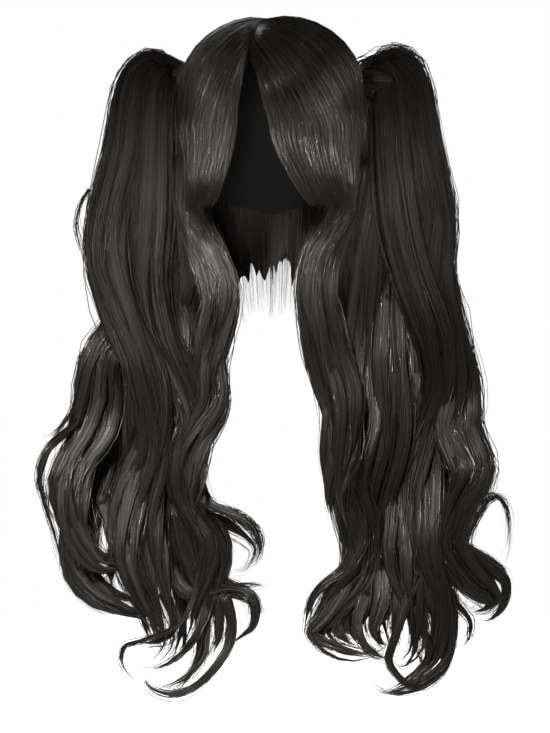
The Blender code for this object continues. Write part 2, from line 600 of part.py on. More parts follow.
def make_lock(name, bends, place, full_breadth, flatness, material, grow=0.0):
    """A tapering lock of flattened round section that keeps its broad side to the front."""
    line = curve_through(bends, place, max(8, round(len(bends) * RINGS_PER_BEND)))
    vertices, faces = [], []
    facing = Vector((0, -1, 0))
    for i, (centre, breadth) in enumerate(line):
        before = line[max(0, i - 1)][0]
        after = line[min(len(line) - 1, i + 1)][0]
        tangent = (after - before).normalized()
        across = tangent.cross(facing).normalized()
        outward = across.cross(tangent).normalized()
        half = max(breadth * full_breadth, TIP_BREADTH) / 2
        half_thick = max(half * flatness, TIP_BREADTH / 2)
        for k in range(LOCK_SIDES):
            turn = 2 * math.pi * (k + 0.5) / LOCK_SIDES
            offset = across * math.cos(turn) * (half + grow) + outward * math.sin(turn) * (half_thick + grow)
            vertices.append(centre + offset)
    rings = len(line)
    for i in range(rings - 1):
        for k in range(LOCK_SIDES):
            a, b = i * LOCK_SIDES + k, i * LOCK_SIDES + (k + 1) % LOCK_SIDES
            faces.append((a, b, b + LOCK_SIDES, a + LOCK_SIDES))
    faces.append(tuple(range(LOCK_SIDES)))
    faces.append(tuple(range((rings - 1) * LOCK_SIDES, rings * LOCK_SIDES)))
    return object_from(name, vertices, faces, material)


def pigtail_place(side):
    """Places the bends of a pigtail. The waves also swing from front to back, more lower down."""
    def place(bend):
        phase = 2 * math.pi * (FORE_WAVE_COUNT * bend.down - bend.fore + bend.out)
        swing = FORE_WAVE * smooth(2 * (bend.down - FORE_WAVE_START)) * math.sin(phase)
        return Vector((
            side * (PIGTAIL_ROOT_X + bend.out * PIGTAIL_REACH),
            PIGTAIL_Y + (bend.fore + swing) * PIGTAIL_DEPTH,
            PIGTAIL_TOP - bend.down * PIGTAIL_DROP,
        ))
    return place


def side_lock_place(side):
    top = -HEAD_CROWN_HEIGHT - SIDE_RIM_DROP - SIDE_LOCK_GAP

    def place(bend):
        return Vector((
            side * (SIDE_LOCK_X + bend.out * SIDE_LOCK_SWAY),
            SIDE_LOCK_Y - bend.fore * SIDE_LOCK_FORWARD,
            top - bend.down * SIDE_LOCK_DROP,
        ))
    return place


def boolean(obj, others, operation):
    """Applies the operation with each of the others, then removes them."""
    for other in others:
        modifier = obj.modifiers.new(operation, "BOOLEAN")
        modifier.operation = operation
        modifier.solver = "EXACT"
        modifier.use_self = True
        modifier.object = other
    graph = bpy.context.evaluated_depsgraph_get()
    mesh = bpy.data.meshes.new_from_object(obj.evaluated_get(graph))
    obj.modifiers.clear()
    obj.data = mesh
    for other in others:
        bpy.data.objects.remove(other)


def keep_main_body(obj):
    """Fills the hollows that the locks enclose, and drops crumbs that a cut leaves."""
    shaper = bmesh.new()
    shaper.from_mesh(obj.data)
    bmesh.ops.dissolve_degenerate(shaper, edges=shaper.edges, dist=0.00002)
    bmesh.ops.triangulate(shaper, faces=shaper.faces)
    left = set(shaper.faces)
    bodies = []
    while left:
        found, todo = set(), [left.pop()]
        while todo:
            face = todo.pop()
            found.add(face)
            joints = [edge for edge in face.edges if len(edge.link_faces) == 2]
            near = {other for edge in joints for other in edge.link_faces} & left
            left -= near
            todo += near
        bodies.append(found)
    main = max(bodies, key=lambda faces: sum(face.calc_area() for face in faces))
    extra = [face for faces in bodies if faces is not main for face in faces]
    bmesh.ops.delete(shaper, geom=extra, context="FACES")
    loose = [edge for edge in shaper.edges if not edge.link_faces]
    bmesh.ops.delete(shaper, geom=loose, context="EDGES")
    shaper.to_mesh(obj.data)
    shaper.free()


def crown_cutter(side, material):
    """A closed dome a little larger than the hair on the head, to keep other hair clear of it."""
    columns, rows = CUTTER_COLUMNS, CUTTER_ROWS
    height = CROWN_HAIR + RIDGE_HEIGHT + CLEARANCE
    vertices = [head_point(Vector((0, 0, 1)), height)]
    for row in range(1, rows + 1):
        lean = math.radians(90 * row / rows)
        for i in range(columns):
            turn = 2 * math.pi * i / columns
            direction = Vector((math.sin(turn) * math.sin(lean), -math.cos(turn) * math.sin(lean), math.cos(lean)))
            vertices.append(head_point(direction, height))
    for i in range(columns):
        turn = 2 * math.pi * i / columns
        direction = Vector((math.sin(turn), -math.cos(turn), 0))
        vertices.append(fall_point(direction, height, SIDE_RIM_DROP + CLEARANCE, FALL_NARROWING))
    vertices = [v + Vector((side_shift(side), 0, 0)) for v in vertices]
    faces = []
    for i in range(columns):
        j = (i + 1) % columns
        faces.append((0, 1 + i, 1 + j))
        for row in range(rows):
            a = 1 + row * columns
            faces.append((a + i, a + columns + i, a + columns + j, a + j))
    faces.append(tuple(range(1 + rows * columns, 1 + (rows + 1) * columns)))
    return object_from("crown_cutter", vertices, faces, material)


def make_side_lock(name, side, bends, material, grow=0.0):
    return make_lock(
        name, bends, side_lock_place(side), SIDE_LOCK_BREADTH, SIDE_LOCK_FLATNESS, material, grow)


def make_pigtail(name, side, locks, side_bends, material):
    place = pigtail_place(side)
    pigtail = make_lock(name, GATHER, place, LOCK_BREADTH, GATHER_FLATNESS, material)
    parts = [
        make_lock(f"{name}_{key}", bends, place, LOCK_BREADTH, LOCK_FLATNESS, material)
        for key, bends in locks.items()
    ]
    boolean(pigtail, parts, "UNION")
    cutters = [
        crown_cutter(side, material),
        make_clip("clip_cutter", side, material, CLEARANCE),
        make_side_lock("side_cutter", side, side_bends, material, CLEARANCE),
    ]
    boolean(pigtail, cutters, "DIFFERENCE")
    keep_main_body(pigtail)
    return pigtail


def main():
    clear_scene()
    hair = make_material("hair", (0.028, 0.022, 0.019), 0.38)
    net = make_material("cap_net", (0.02, 0.018, 0.017), 0.85)
    skin = make_material("part_net", (0.42, 0.36, 0.32), 0.7)
    plastic = make_material("clip_plastic", (0.03, 0.028, 0.027), 0.35)
    make_cap(net)
    make_part_strip(skin)
    for word, side, locks, side_bends in (
        ("left", -1, LEFT_LOCKS, LEFT_SIDE_LOCK),
        ("right", 1, RIGHT_LOCKS, RIGHT_SIDE_LOCK),
    ):
        make_bang(f"bang_{word}", side, hair)
        make_crown(f"crown_hair_{word}", side, hair)
        side_lock = make_side_lock(f"side_lock_{word}", side, side_bends, hair)
        boolean(side_lock, [make_bang("bang_cutter", side, hair, CLEARANCE)], "DIFFERENCE")
        keep_main_body(side_lock)
        make_clip(f"clip_{word}", side, plastic)
        make_pigtail(f"pigtail_{word}", side, locks, side_bends, hair)


main()
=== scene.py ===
"""Looks of the pigtail wig: hair strands over ridged locks, the net cap, floor, light and camera.

Metres, +Z up, the face looks along -Y. The origin is the inside of the cap at the top.
"""

import math
from collections import namedtuple

import bpy
import numpy as np
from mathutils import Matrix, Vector


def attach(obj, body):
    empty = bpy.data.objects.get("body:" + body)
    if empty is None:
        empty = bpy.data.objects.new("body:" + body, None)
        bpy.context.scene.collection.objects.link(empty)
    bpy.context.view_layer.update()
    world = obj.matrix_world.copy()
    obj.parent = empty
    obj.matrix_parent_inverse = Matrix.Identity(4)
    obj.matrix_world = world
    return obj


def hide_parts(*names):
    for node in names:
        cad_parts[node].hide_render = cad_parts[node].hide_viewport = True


# Head and cap, as in the part
HEAD_SIZES = np.array([0.076, 0.096, 0.095])
HEAD_SQUARENESS = 2.5
CAP_WALL = 0.0015
HAIR_GAP = 0.0016
CROWN_HAIR = 0.0120
PART_SHIFT = 0.018
PART_CLOSING = 0.30
BANG_DROP = 0.082
BANG_SLOPE = 0.06
BANG_SWING_LEFT = 0.34
BANG_SWING_RIGHT = 0.56
BANG_SWING_POWER = 1.6
BANG_SHARE = 0.38
SIDE_RIM_DROP = 0.020
BACK_START = 0.66
BACK_BLEND = 0.10
BACK_HAIR_DROP = 0.165
FALL_NARROWING = 0.083

# Side locks and pigtails, as in the part
SIDE_LOCK_GAP = 0.005
SIDE_LOCK_DROP = 0.373
SIDE_LOCK_SWAY = 0.0475
SIDE_LOCK_X = 0.078
SIDE_LOCK_Y = -0.036
SIDE_LOCK_FORWARD = 0.030
SIDE_LOCK_BREADTH = 0.0475
SIDE_LOCK_FLATNESS = 0.42
PIGTAIL_DROP = 0.618
PIGTAIL_REACH = 0.138
PIGTAIL_DEPTH = 0.120
PIGTAIL_TOP = -0.014
PIGTAIL_Y = 0.004
PIGTAIL_ROOT_X = 0.0895
FORE_WAVE = 0.09
FORE_WAVE_COUNT = 2.6
FORE_WAVE_START = 0.1
LOCK_BREADTH = 0.0475
LOCK_FLATNESS = 0.58

# Looks of the hair on the head
BACK_OVERLAP = 0.003
FRONT_OVERLAP = 0.0030
PART_GAP = 0.0010
PART_EDGE = 0.86
PART_SLOPE = 0.12
HAIR_LIFT = 0.0002
SHOULDER = 0.0034
SHOULDER_ALONG = 0.6
SHOULDER_LENGTH = 0.22
SHOULDER_SHARE = 0.5
SHOULDER_BREADTH = 0.10
FRONT_EDGE = 0.0035
RELIEF = 0.0010
BODY_DEPTH = 0.0011
BODY_SHORTER = 0.16
BACK_BODY_SHORTER = 0.12
ENDS_ALONG_SHEET = 110
SHORTEST_END = -0.12
LONGEST_END = 0.10
SHEET_TUFTS = 64
CROWN_CROWDING = 0.72
CROWN_PULL = 0.50
BANG_PULL = 0.75
CROWN_RAGGED = 0.42
BANG_RAGGED = 0.22
INSIDE_SHARE = 0.35
LONG_BANG_STRANDS = 260
LONG_BANG_FROM = 0.09
LONG_BANG_SHORTEST = 0.085
LONG_BANG_LONGEST = 0.240

# How strands leave the part: share of the way from front to back, where on the part they start
# (degrees from the top, forwards) and where they pass the widest level (degrees from the front).
Flow = namedtuple("Flow", "share part_angle fall_angle_left fall_angle_right")
FLOWS = [
    Flow(0.00, 50, 18, -2),
    Flow(0.38, 25, 60, 60),
    Flow(0.65, 0, 110, 110),
    Flow(1.00, -30, 180, 180),
]

# A bend of a lock. Pigtails: shares of PIGTAIL_DROP, PIGTAIL_REACH, PIGTAIL_DEPTH and LOCK_BREADTH.
# Side locks: shares of SIDE_LOCK_DROP, SIDE_LOCK_SWAY, SIDE_LOCK_FORWARD and SIDE_LOCK_BREADTH.
# The rows are in thousandths.
Bend = namedtuple("Bend", "down out fore breadth")


def bend_rows(*rows):
    return [Bend(*(number / 1000 for number in row)) for row in rows]


LEFT_LOCKS = {
    "core": bend_rows(
        (50, 40, 0, 400), (45, 200, 0, 800), (100, 270, 20, 1100), (250, 290, 20, 1200),
        (400, 260, 0, 1100), (550, 220, 0, 1100), (700, 170, 0, 900), (820, 150, 0, 600),
        (900, 100, 0, 100),
    ),
    "outer_sweep": bend_rows(
        (50, 40, -20, 500), (33, 180, -100, 800), (70, 300, -180, 900), (160, 340, -260, 980),
        (260, 460, -300, 980), (340, 470, -310, 950), (430, 335, -310, 880), (510, 190, -300, 800),
        (610, 140, -280, 720), (700, 220, -260, 680), (790, 170, -240, 600), (870, 60, -200, 420),
        (915, 30, -180, 260), (942, 140, -160, 140), (952, 290, -140, 60),
    ),
    "inner_front": bend_rows(
        (55, 40, -50, 500), (45, 120, -140, 700), (90, 160, -220, 850), (175, 165, -280, 950),
        (270, 180, -300, 1000), (360, 200, -290, 950), (450, 140, -270, 850), (530, -40, -240, 800),
        (580, -120, -220, 750), (640, -60, -220, 680), (700, -80, -220, 680), (755, -250, -200, 620),
        (810, -250, -180, 550), (870, -170, -160, 460), (930, -200, -160, 420), (977, -80, -140, 280),
        (990, 120, -120, 140), (965, 210, -100, 60),
    ),
    "outer_bulge": bend_rows(
        (50, 40, 40, 400), (33, 200, 40, 800), (85, 330, 20, 720), (190, 420, 0, 720),
        (270, 510, 0, 700), (330, 500, -10, 720), (410, 360, -40, 700), (475, 510, -80, 850),
        (540, 540, -120, 880), (600, 600, -160, 850), (650, 710, -180, 750), (700, 740, -180, 660),
        (745, 690, -180, 600), (785, 550, -200, 500), (790, 420, -200, 360), (765, 300, -220, 200),
        (730, 220, -220, 60),
    ),
    "low_swirl": bend_rows(
        (55, 40, 60, 400), (35, 220, 100, 600), (130, 340, 100, 700), (250, 420, 100, 700),
        (375, 400, 80, 700), (470, 400, 40, 700), (560, 470, 20, 720), (630, 570, 20, 750),
        (700, 620, 20, 750), (790, 680, 0, 720), (845, 540, -40, 660), (868, 310, -80, 550),
        (880, 100, -100, 280), (880, -30, -100, 60),
    ),
    "middle": bend_rows(
        (50, 50, -50, 400), (45, 170, -80, 600), (100, 230, -120, 700), (240, 180, -140, 800),
        (360, 120, -160, 800), (450, 40, -160, 800), (540, 60, -200, 800), (620, 220, -240, 750),
        (700, 340, -260, 700), (790, 340, -240, 600), (860, 200, -200, 450), (900, 90, -180, 260),
        (920, 220, -160, 120), (935, 360, -140, 60),
    ),
    "inner_fall": bend_rows(
        (55, 50, 0, 400), (60, 130, -40, 500), (160, 60, -40, 600), (250, 10, -40, 700),
        (375, -50, -60, 750), (470, -110, -80, 750), (540, -180, -100, 700), (605, -110, -100, 700),
        (670, -60, -100, 650), (720, -210, -120, 500), (750, -430, -120, 280), (775, -530, -120, 160),
        (805, -470, -120, 120), (812, -330, -120, 60),
    ),
    "inner_curl": bend_rows(
        (700, -20, -60, 500), (770, -80, -60, 500), (825, -170, -60, 320), (833, -370, -60, 220),
        (852, -520, -60, 160), (890, -520, -60, 140), (915, -400, -60, 100), (932, -290, -60, 50),
    ),
    "back_outer": bend_rows(
        (50, 40, 60, 400), (34, 200, 160, 700), (90, 300, 260, 1000), (200, 380, 310, 1050),
        (320, 380, 320, 1050), (440, 300, 300, 1000), (560, 370, 280, 950), (680, 420, 240, 850),
        (780, 360, 200, 700), (860, 240, 160, 500), (920, 140, 120, 240), (950, 220, 100, 60),
    ),
    "back_inner": bend_rows(
        (55, 40, 40, 400), (50, 130, 140, 600), (100, 190, 220, 800), (200, 180, 260, 900),
        (320, 120, 260, 950), (440, 40, 240, 950), (560, 60, 220, 900), (680, 20, 180, 850),
        (780, 0, 140, 750), (860, -50, 100, 650), (930, -20, 80, 450), (975, 80, 60, 100),
    ),
}

RIGHT_LOCKS = {
    "core": bend_rows(
        (50, 40, 0, 400), (45, 200, 0, 800), (100, 270, 20, 1100), (250, 340, 20, 1200),
        (400, 360, 0, 1200), (550, 360, 0, 1200), (700, 300, 0, 1100), (820, 300, 0, 800),
        (900, 300, 0, 100),
    ),
    "outer_sweep": bend_rows(
        (50, 40, -20, 500), (24, 190, -80, 780), (58, 320, -140, 800), (160, 390, -200, 880),
        (260, 480, -240, 880), (347, 455, -260, 860), (436, 555, -270, 880), (520, 635, -280, 900),
        (590, 610, -280, 950), (650, 740, -280, 900), (710, 640, -270, 800), (765, 560, -260, 750),
        (812, 660, -240, 850), (836, 800, -160, 920), (852, 850, 0, 800), (872, 720, 100, 500),
        (880, 580, 120, 80),
    ),
    "inner_front": bend_rows(
        (55, 40, -50, 500), (45, 120, -140, 650), (100, 160, -220, 820), (190, 180, -280, 920),
        (283, 230, -300, 1000), (375, 340, -310, 950), (450, 460, -310, 850), (530, 510, -300, 780),
        (605, 430, -280, 720), (680, 380, -260, 720), (760, 410, -250, 720), (836, 490, -220, 700),
        (900, 520, -180, 550), (945, 490, -160, 450), (980, 320, -140, 300), (990, 140, -120, 140),
        (972, 0, -100, 60),
    ),
    "middle": bend_rows(
        (50, 50, -20, 400), (40, 220, -50, 600), (130, 310, -100, 800), (237, 350, -120, 850),
        (336, 380, -130, 850), (420, 480, -140, 850), (510, 500, -160, 850), (590, 380, -200, 850),
        (667, 270, -240, 800), (743, 230, -260, 750), (810, 270, -240, 650), (874, 320, -200, 550),
        (925, 330, -180, 350), (950, 240, -160, 180), (935, 140, -140, 60),
    ),
    "inner_fall": bend_rows(
        (60, 50, 0, 400), (70, 120, -60, 500), (160, 90, -100, 580), (270, 30, -140, 660),
        (380, -20, -180, 800), (480, -50, -200, 900), (574, -60, -220, 920), (667, -130, -240, 900),
        (750, -20, -260, 800), (810, -60, -260, 720), (860, -240, -240, 600), (905, -320, -220, 400),
        (932, -140, -200, 260), (928, 70, -180, 140), (908, 180, -160, 60),
    ),
    "between": bend_rows(
        (50, 60, 0, 400), (50, 150, -40, 500), (144, 200, -60, 600), (267, 160, -100, 650),
        (390, 160, -140, 750), (480, 170, -180, 850), (590, 160, -200, 880), (680, 100, -200, 850),
        (767, 30, -180, 850), (830, -30, -160, 850), (880, -100, -140, 600), (915, 0, -120, 300),
        (918, 140, -120, 80),
    ),
    "side_hook": bend_rows(
        (50, 50, 40, 400), (36, 240, 80, 500), (160, 400, 80, 600), (300, 440, 60, 600),
        (450, 550, 40, 600), (580, 620, 20, 600), (660, 660, -20, 500), (700, 760, -40, 140),
        (690, 850, -40, 80), (698, 930, -40, 50), (730, 975, -40, 40), (770, 975, -40, 30),
    ),
    "back_outer": bend_rows(
        (50, 40, 60, 400), (34, 200, 160, 700), (90, 300, 260, 1000), (200, 400, 310, 1050),
        (320, 410, 320, 1050), (440, 480, 300, 1000), (560, 520, 280, 950), (680, 500, 240, 850),
        (780, 440, 200, 700), (860, 420, 160, 500), (920, 400, 120, 250), (950, 460, 100, 60),
    ),
    "back_inner": bend_rows(
        (55, 40, 40, 400), (50, 130, 140, 600), (100, 190, 220, 800), (200, 180, 260, 900),
        (320, 180, 260, 950), (440, 160, 240, 950), (560, 100, 220, 900), (680, 80, 180, 850),
        (780, 120, 140, 750), (860, 100, 100, 600), (930, 160, 80, 250), (960, 240, 60, 60),
    ),
}

LEFT_SIDE_LOCK = bend_rows(
    (0, 0, 0, 620), (120, -20, 120, 760), (240, -340, 700, 800), (350, -630, 1000, 820),
    (460, -530, 1050, 720), (540, -460, 1050, 620), (630, -520, 1000, 620), (740, -140, 950, 580),
    (840, -100, 950, 420), (940, 0, 900, 80),
)
RIGHT_SIDE_LOCK = bend_rows(
    (0, 0, 0, 620), (120, -280, 120, 800), (250, -680, 700, 840), (350, -790, 1000, 900),
    (490, -560, 1050, 920), (610, -360, 1050, 920), (740, -280, 1000, 800), (880, -340, 950, 540),
    (1000, -160, 900, 80),
)

# Thin curls beside the locks: breadth in metres, and places (down, out, fore) in thousandths of the
# shares of the pigtails.
Wisp = namedtuple("Wisp", "breadth places")
LEFT_WISPS = [
    Wisp(0.002, [(222, 600, -220), (245, 660, -220), (276, 690, -200), (306, 665, -180), (340, 610, -160)]),
    Wisp(0.004, [(500, 520, -160), (545, 660, -200), (575, 760, -220), (594, 830, -220), (601, 920, -200)]),
    Wisp(0.006, [
        (560, 600, -140), (596, 760, -200), (622, 870, -220), (668, 935, -200), (690, 900, -180),
        (700, 800, -160),
    ]),
    Wisp(0.006, [
        (580, 700, -100), (610, 860, -140), (650, 940, -160), (700, 910, -160), (749, 840, -160),
        (797, 790, -140), (840, 700, -120),
    ]),
    Wisp(0.006, [
        (800, -160, -200), (852, -100, -220), (888, -10, -220), (909, 220, -200), (920, 360, -180),
        (947, 385, -160), (969, 310, -160), (977, 200, -160),
    ]),
    Wisp(0.012, [
        (800, -220, -200), (860, -200, -220), (903, -130, -220), (933, -20, -220), (950, 120, -200),
        (953, 300, -180),
    ]),
    Wisp(0.013, [
        (830, -300, -180), (880, -370, -200), (921, -350, -220), (953, -260, -220), (981, -120, -220),
        (992, 20, -200), (987, 150, -180), (972, 210, -160), (957, 130, -140),
    ]),
    Wisp(0.016, [
        (800, 60, -140), (835, -40, -180), (843, -180, -200), (831, -380, -200), (850, -530, -180),
        (890, -530, -160), (918, -390, -140),
    ]),
    Wisp(0.005, [
        (850, -60, -140), (838, -180, -160), (827, -350, -180), (824, -530, -180), (828, -610, -160),
    ]),
    Wisp(0.004, [(830, -300, -100), (838, -430, -120), (852, -530, -140), (872, -610, -140)]),
    Wisp(0.012, [
        (660, -60, -240), (698, -200, -280), (722, -420, -300), (750, -550, -280), (783, -555, -260),
        (806, -430, -240),
    ]),
    Wisp(0.009, [
        (670, -40, -200), (703, -190, -240), (712, -360, -260), (729, -500, -260), (760, -575, -240),
        (795, -530, -220),
    ]),
    Wisp(0.012, [(840, 100, -100), (880, 20, -140), (905, 60, -160), (915, 200, -160), (912, 320, -140)]),
    Wisp(0.02, [(700, 500, -100), (740, 440, -120), (780, 430, -140), (820, 450, -140), (850, 400, -120)]),
    Wisp(0.018, [
        (800, -180, -140), (840, -260, -160), (880, -290, -180), (920, -270, -180), (950, -180, -160),
    ]),
]
RIGHT_WISPS = [
    Wisp(0.012, [
        (810, 340, -240), (870, 240, -260), (912, 180, -260), (942, 150, -240), (969, 230, -220),
        (981, 330, -200), (953, 385, -180), (918, 310, -160), (897, 170, -140),
    ]),
    Wisp(0.014, [
        (800, 360, -220), (852, 440, -240), (905, 555, -240), (947, 545, -220), (978, 430, -200),
        (993, 260, -180), (990, 110, -160), (975, -10, -140),
    ]),
    Wisp(0.008, [(800, 500, -200), (852, 610, -200), (883, 710, -180), (914, 700, -160), (937, 600, -140)]),
    Wisp(0.006, [
        (770, 620, -160), (735, 720, -180), (702, 810, -180), (692, 900, -160), (715, 965, -140),
        (764, 980, -140), (795, 950, -120),
    ]),
    Wisp(0.03, [
        (780, 520, -200), (812, 640, -200), (838, 760, -180), (852, 850, -160), (868, 800, -140),
        (876, 640, -120),
    ]),
    Wisp(0.024, [
        (800, -50, -220), (850, -130, -220), (890, -200, -220), (915, -120, -200), (925, 20, -180),
    ]),
    Wisp(0.024, [(800, 120, -200), (850, 100, -220), (890, 50, -220), (915, 100, -200), (920, 200, -180)]),
    Wisp(0.022, [(800, 250, -180), (860, 220, -200), (900, 200, -200), (930, 260, -180)]),
    Wisp(0.044, [(780, 20, -100), (840, -50, -120), (880, -120, -120), (902, -80, -100), (910, 60, -80)]),
    Wisp(0.04, [(790, 180, -80), (850, 120, -100), (890, 70, -100), (905, 150, -80)]),
    Wisp(0.006, [(760, 620, -180), (774, 740, -200), (788, 860, -200), (805, 950, -180), (830, 985, -160)]),
    Wisp(0.016, [
        (820, -120, -260), (867, -250, -280), (900, -375, -280), (918, -250, -260), (930, -40, -240),
        (924, 90, -220), (906, 170, -200),
    ]),
    Wisp(0.014, [
        (770, -60, -280), (803, -150, -300), (831, -310, -300), (858, -390, -280), (900, -430, -260),
        (926, -460, -240),
    ]),
    Wisp(0.02, [
        (755, 560, -240), (782, 710, -260), (803, 860, -260), (824, 955, -220), (858, 940, -180),
        (882, 840, -160), (884, 660, -140),
    ]),
    Wisp(0.012, [(860, 300, -200), (905, 400, -220), (935, 420, -200), (965, 330, -180), (975, 200, -160)]),
    Wisp(0.014, [(840, 20, -240), (880, -60, -260), (915, -20, -240), (935, 100, -220), (930, 220, -200)]),
]

# The bound root of a pigtail, and the hair that hangs from it beside the head
ROOT_BENDS = bend_rows(
    (46, -110, 0, 600), (47, -30, 0, 950), (50, 70, 0, 1100), (52, 150, 0, 1120), (54, 230, 0, 600),
)
ROOT_FLATNESS = 0.95
ROOT_DROP = {"left": 0.012, "right": 0.0}
FILL_BENDS = bend_rows(
    (50, 80, -60, 300), (65, 20, -80, 500), (130, -30, -80, 550), (220, -80, -80, 720),
    (320, -100, -80, 800), (400, -70, -60, 700), (480, 0, -40, 300), (540, 40, -40, 60),
)

# Strands and the tufts that they lie in
STRAND_WIDTH = 0.00072
STRAND_SEGMENTS = 24
STRANDS_PER_METRE = 850
COVER_STRANDS_PER_METRE = 900
TUFTS_PER_LOCK = 8
TUFT_PLACE = 0.62
TUFT_SIZE = 0.42
TUFT_SWING = 0.0042
TUFT_SHORTENING = 0.16
THINNEST_TUFT = 0.0003
TUFT_RINGS = 30
TUFT_SIDES = 11
CORE_SIZE = 0.60
BODY_SIZE = 0.92
TUFT_BODY_END = 0.97
CURL_BODY_END = 0.93
FEWEST_STRANDS = 6
FEWEST_IN_A_WISP = 14
STRAND_SWING = 0.0011
STRAY_SHARE = 0.13
STRAY_SWING = 0.0036
STRAND_UNEVENNESS = 0.0005
STRAND_SPREAD = 0.0011
TURN_COST = 0.06
STATIONS = 240
SEED = 11

BANG_TIP = 0.004
CROWN_TIP = 0.005
BANG_STRANDS = 400
CROWN_STRANDS = 640
STRAND_STEPS_ON_HEAD = 11
STRAND_STEPS_BELOW = 5
BODY_COLUMNS = 170
BODY_STEPS_ON_HEAD = 20
BODY_STEPS_BELOW = 14

HEAD_CENTRE = np.array([0, 0, -HEAD_SIZES[2]])
INNER_HAIR = CAP_WALL + HAIR_GAP
FACING = np.array([0, -1.0, 0])


def smooth(share):
    share = np.clip(share, 0, 1)
    return share * share * (3 - 2 * share)


def mix(a, b, share):
    return a + (b - a) * share


def draws(rng, count, low=0, high=1):
    """One number for each strand, as a column."""
    return rng.uniform(low, high, (count, 1))


def unit(vectors):
    return vectors / np.maximum(np.linalg.norm(vectors, axis=-1, keepdims=True), 1e-12)


# Meshes from arrays

def mesh_object(name, vertices, faces, fibre, material):
    """An object from vertices (n, 3), groups of faces and each vertex's place on its fibre."""
    mesh = bpy.data.meshes.new(name)
    corners = np.concatenate([group.ravel() for group in faces])
    sizes = np.concatenate([np.full(len(group), group.shape[1]) for group in faces])
    starts = np.concatenate([[0], np.cumsum(sizes)[:-1]])
    mesh.vertices.add(len(vertices))
    mesh.vertices.foreach_set("co", np.asarray(vertices, np.float32).ravel())
    mesh.loops.add(len(corners))
    mesh.loops.foreach_set("vertex_index", corners.astype(np.int32))
    mesh.polygons.add(len(sizes))
    mesh.polygons.foreach_set("loop_start", starts.astype(np.int32))
    mesh.update(calc_edges=True)
    layer = mesh.uv_layers.new(name="Fibre")
    layer.data.foreach_set("uv", np.asarray(fibre, np.float32)[corners].ravel())
    mesh.shade_smooth()
    mesh.materials.append(material)
    obj = bpy.data.objects.new(name, mesh)
    bpy.context.scene.collection.objects.link(obj)
    return obj


def dress(obj, node):
    """Places a visual piece for a node of the part."""
    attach(obj, "root")
    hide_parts(node)


def tubes(name, strands, radii, tones, material):
    """Closed three-sided tubes along strands (count, points, 3)."""
    count, length = strands.shape[:2]
    tangent = unit(np.gradient(strands, axis=1))
    normal = np.empty_like(strands)
    carried = np.cross(tangent[:, 0], np.array([0.31, -0.87, 0.38]))
    for i in range(length):
        carried = unit(carried - (carried * tangent[:, i]).sum(-1, keepdims=True) * tangent[:, i])
        normal[:, i] = carried
    binormal = np.cross(tangent, normal)
    turns = 2 * math.pi * np.arange(3)[:, None] / 3
    around = normal[:, :, None] * np.cos(turns) + binormal[:, :, None] * np.sin(turns)
    vertices = strands[:, :, None] + around * radii[:, :, None, None]
    index = np.arange(count * length * 3).reshape(count, length, 3)
    low, high = index[:, :-1], index[:, 1:]
    sides = np.stack([low, np.roll(low, -1, 2), np.roll(high, -1, 2), high], -1).reshape(-1, 4)
    caps = np.concatenate([index[:, 0, ::-1], index[:, -1]])
    along = np.broadcast_to(np.linspace(0, 1, length)[None, :, None], index.shape)
    tone = np.broadcast_to(tones[:, None, None], index.shape)
    fibre = np.stack([tone, along], -1).reshape(-1, 2)
    return mesh_object(name, vertices.reshape(-1, 3), [sides, caps], fibre, material)


def strand_radii(count, length, rng):
    """Each strand has its own width and a fine tip."""
    along = np.linspace(0, 1, length)
    thin = 1 - 0.85 * smooth((along - 0.7) / 0.3)
    return 0.5 * STRAND_WIDTH * rng.uniform(0.6, 1.3, count)[:, None] * thin[None, :]


# Hair on the head

def head_point(direction, height):
    sizes = HEAD_SIZES + height[..., None]
    total = (np.abs(direction / sizes) ** HEAD_SQUARENESS).sum(-1, keepdims=True)
    return HEAD_CENTRE + direction * total ** (-1 / HEAD_SQUARENESS)


def flow(column, share):
    return np.interp(share, [row.share for row in FLOWS], [getattr(row, column) for row in FLOWS])


def slerp(start, end, share):
    angle = np.arccos(np.clip((start * end).sum(-1), -1, 1))[..., None]
    share = share[..., None]
    return (np.sin((1 - share) * angle) * start + np.sin(share * angle) * end) / np.sin(angle)


def hair_point(side, share, along, height, drop):
    """As in the part: share runs from the front to the back, along from the part to the widest level."""
    part_angle = flow("part_angle", share)
    fall = np.radians(flow("fall_angle_left" if side < 0 else "fall_angle_right", share))
    shift = PART_SHIFT / HEAD_SIZES[1] * np.maximum(0, part_angle) / FLOWS[0].part_angle
    lean = np.radians(part_angle)
    start = unit(np.stack([-shift, -np.sin(lean), np.cos(lean)], -1))
    end = np.stack([side * np.sin(fall), -np.cos(fall), np.zeros_like(fall)], -1)
    point = head_point(slerp(start, end, along), height)
    keep = 1 - FALL_NARROWING * (drop / HEAD_SIZES[2]) ** 2
    half_gap = mix(PART_GAP / 2, -BACK_OVERLAP / 2, share * smooth(along / PART_CLOSING))
    half_gap = half_gap - FRONT_OVERLAP * (1 - smooth(share / 0.15)) * (1 - smooth((along - 0.14) / 0.16))
    x = point[..., 0] * keep + side * half_gap
    return np.stack([x, point[..., 1] * keep, point[..., 2] - drop], -1)


def bang_point(side, share, along, height, drop):
    point = hair_point(side, share, along, height, drop)
    reach = BANG_SWING_LEFT if side < 0 else BANG_SWING_RIGHT
    fall = np.clip(drop / BANG_DROP, 0, 1.3) ** BANG_SWING_POWER
    swing = HEAD_SIZES[0] * reach * fall * (1 - share / BANG_SHARE)
    turned = np.sqrt(1 - np.minimum(0.95, swing / (HEAD_SIZES[1] + height)) ** 2)
    return np.stack([point[..., 0] + side * swing, point[..., 1] * turned, point[..., 2]], -1)


def bang_drop(share):
    return BANG_DROP * (1 - BANG_SLOPE * (1 - share / BANG_SHARE))


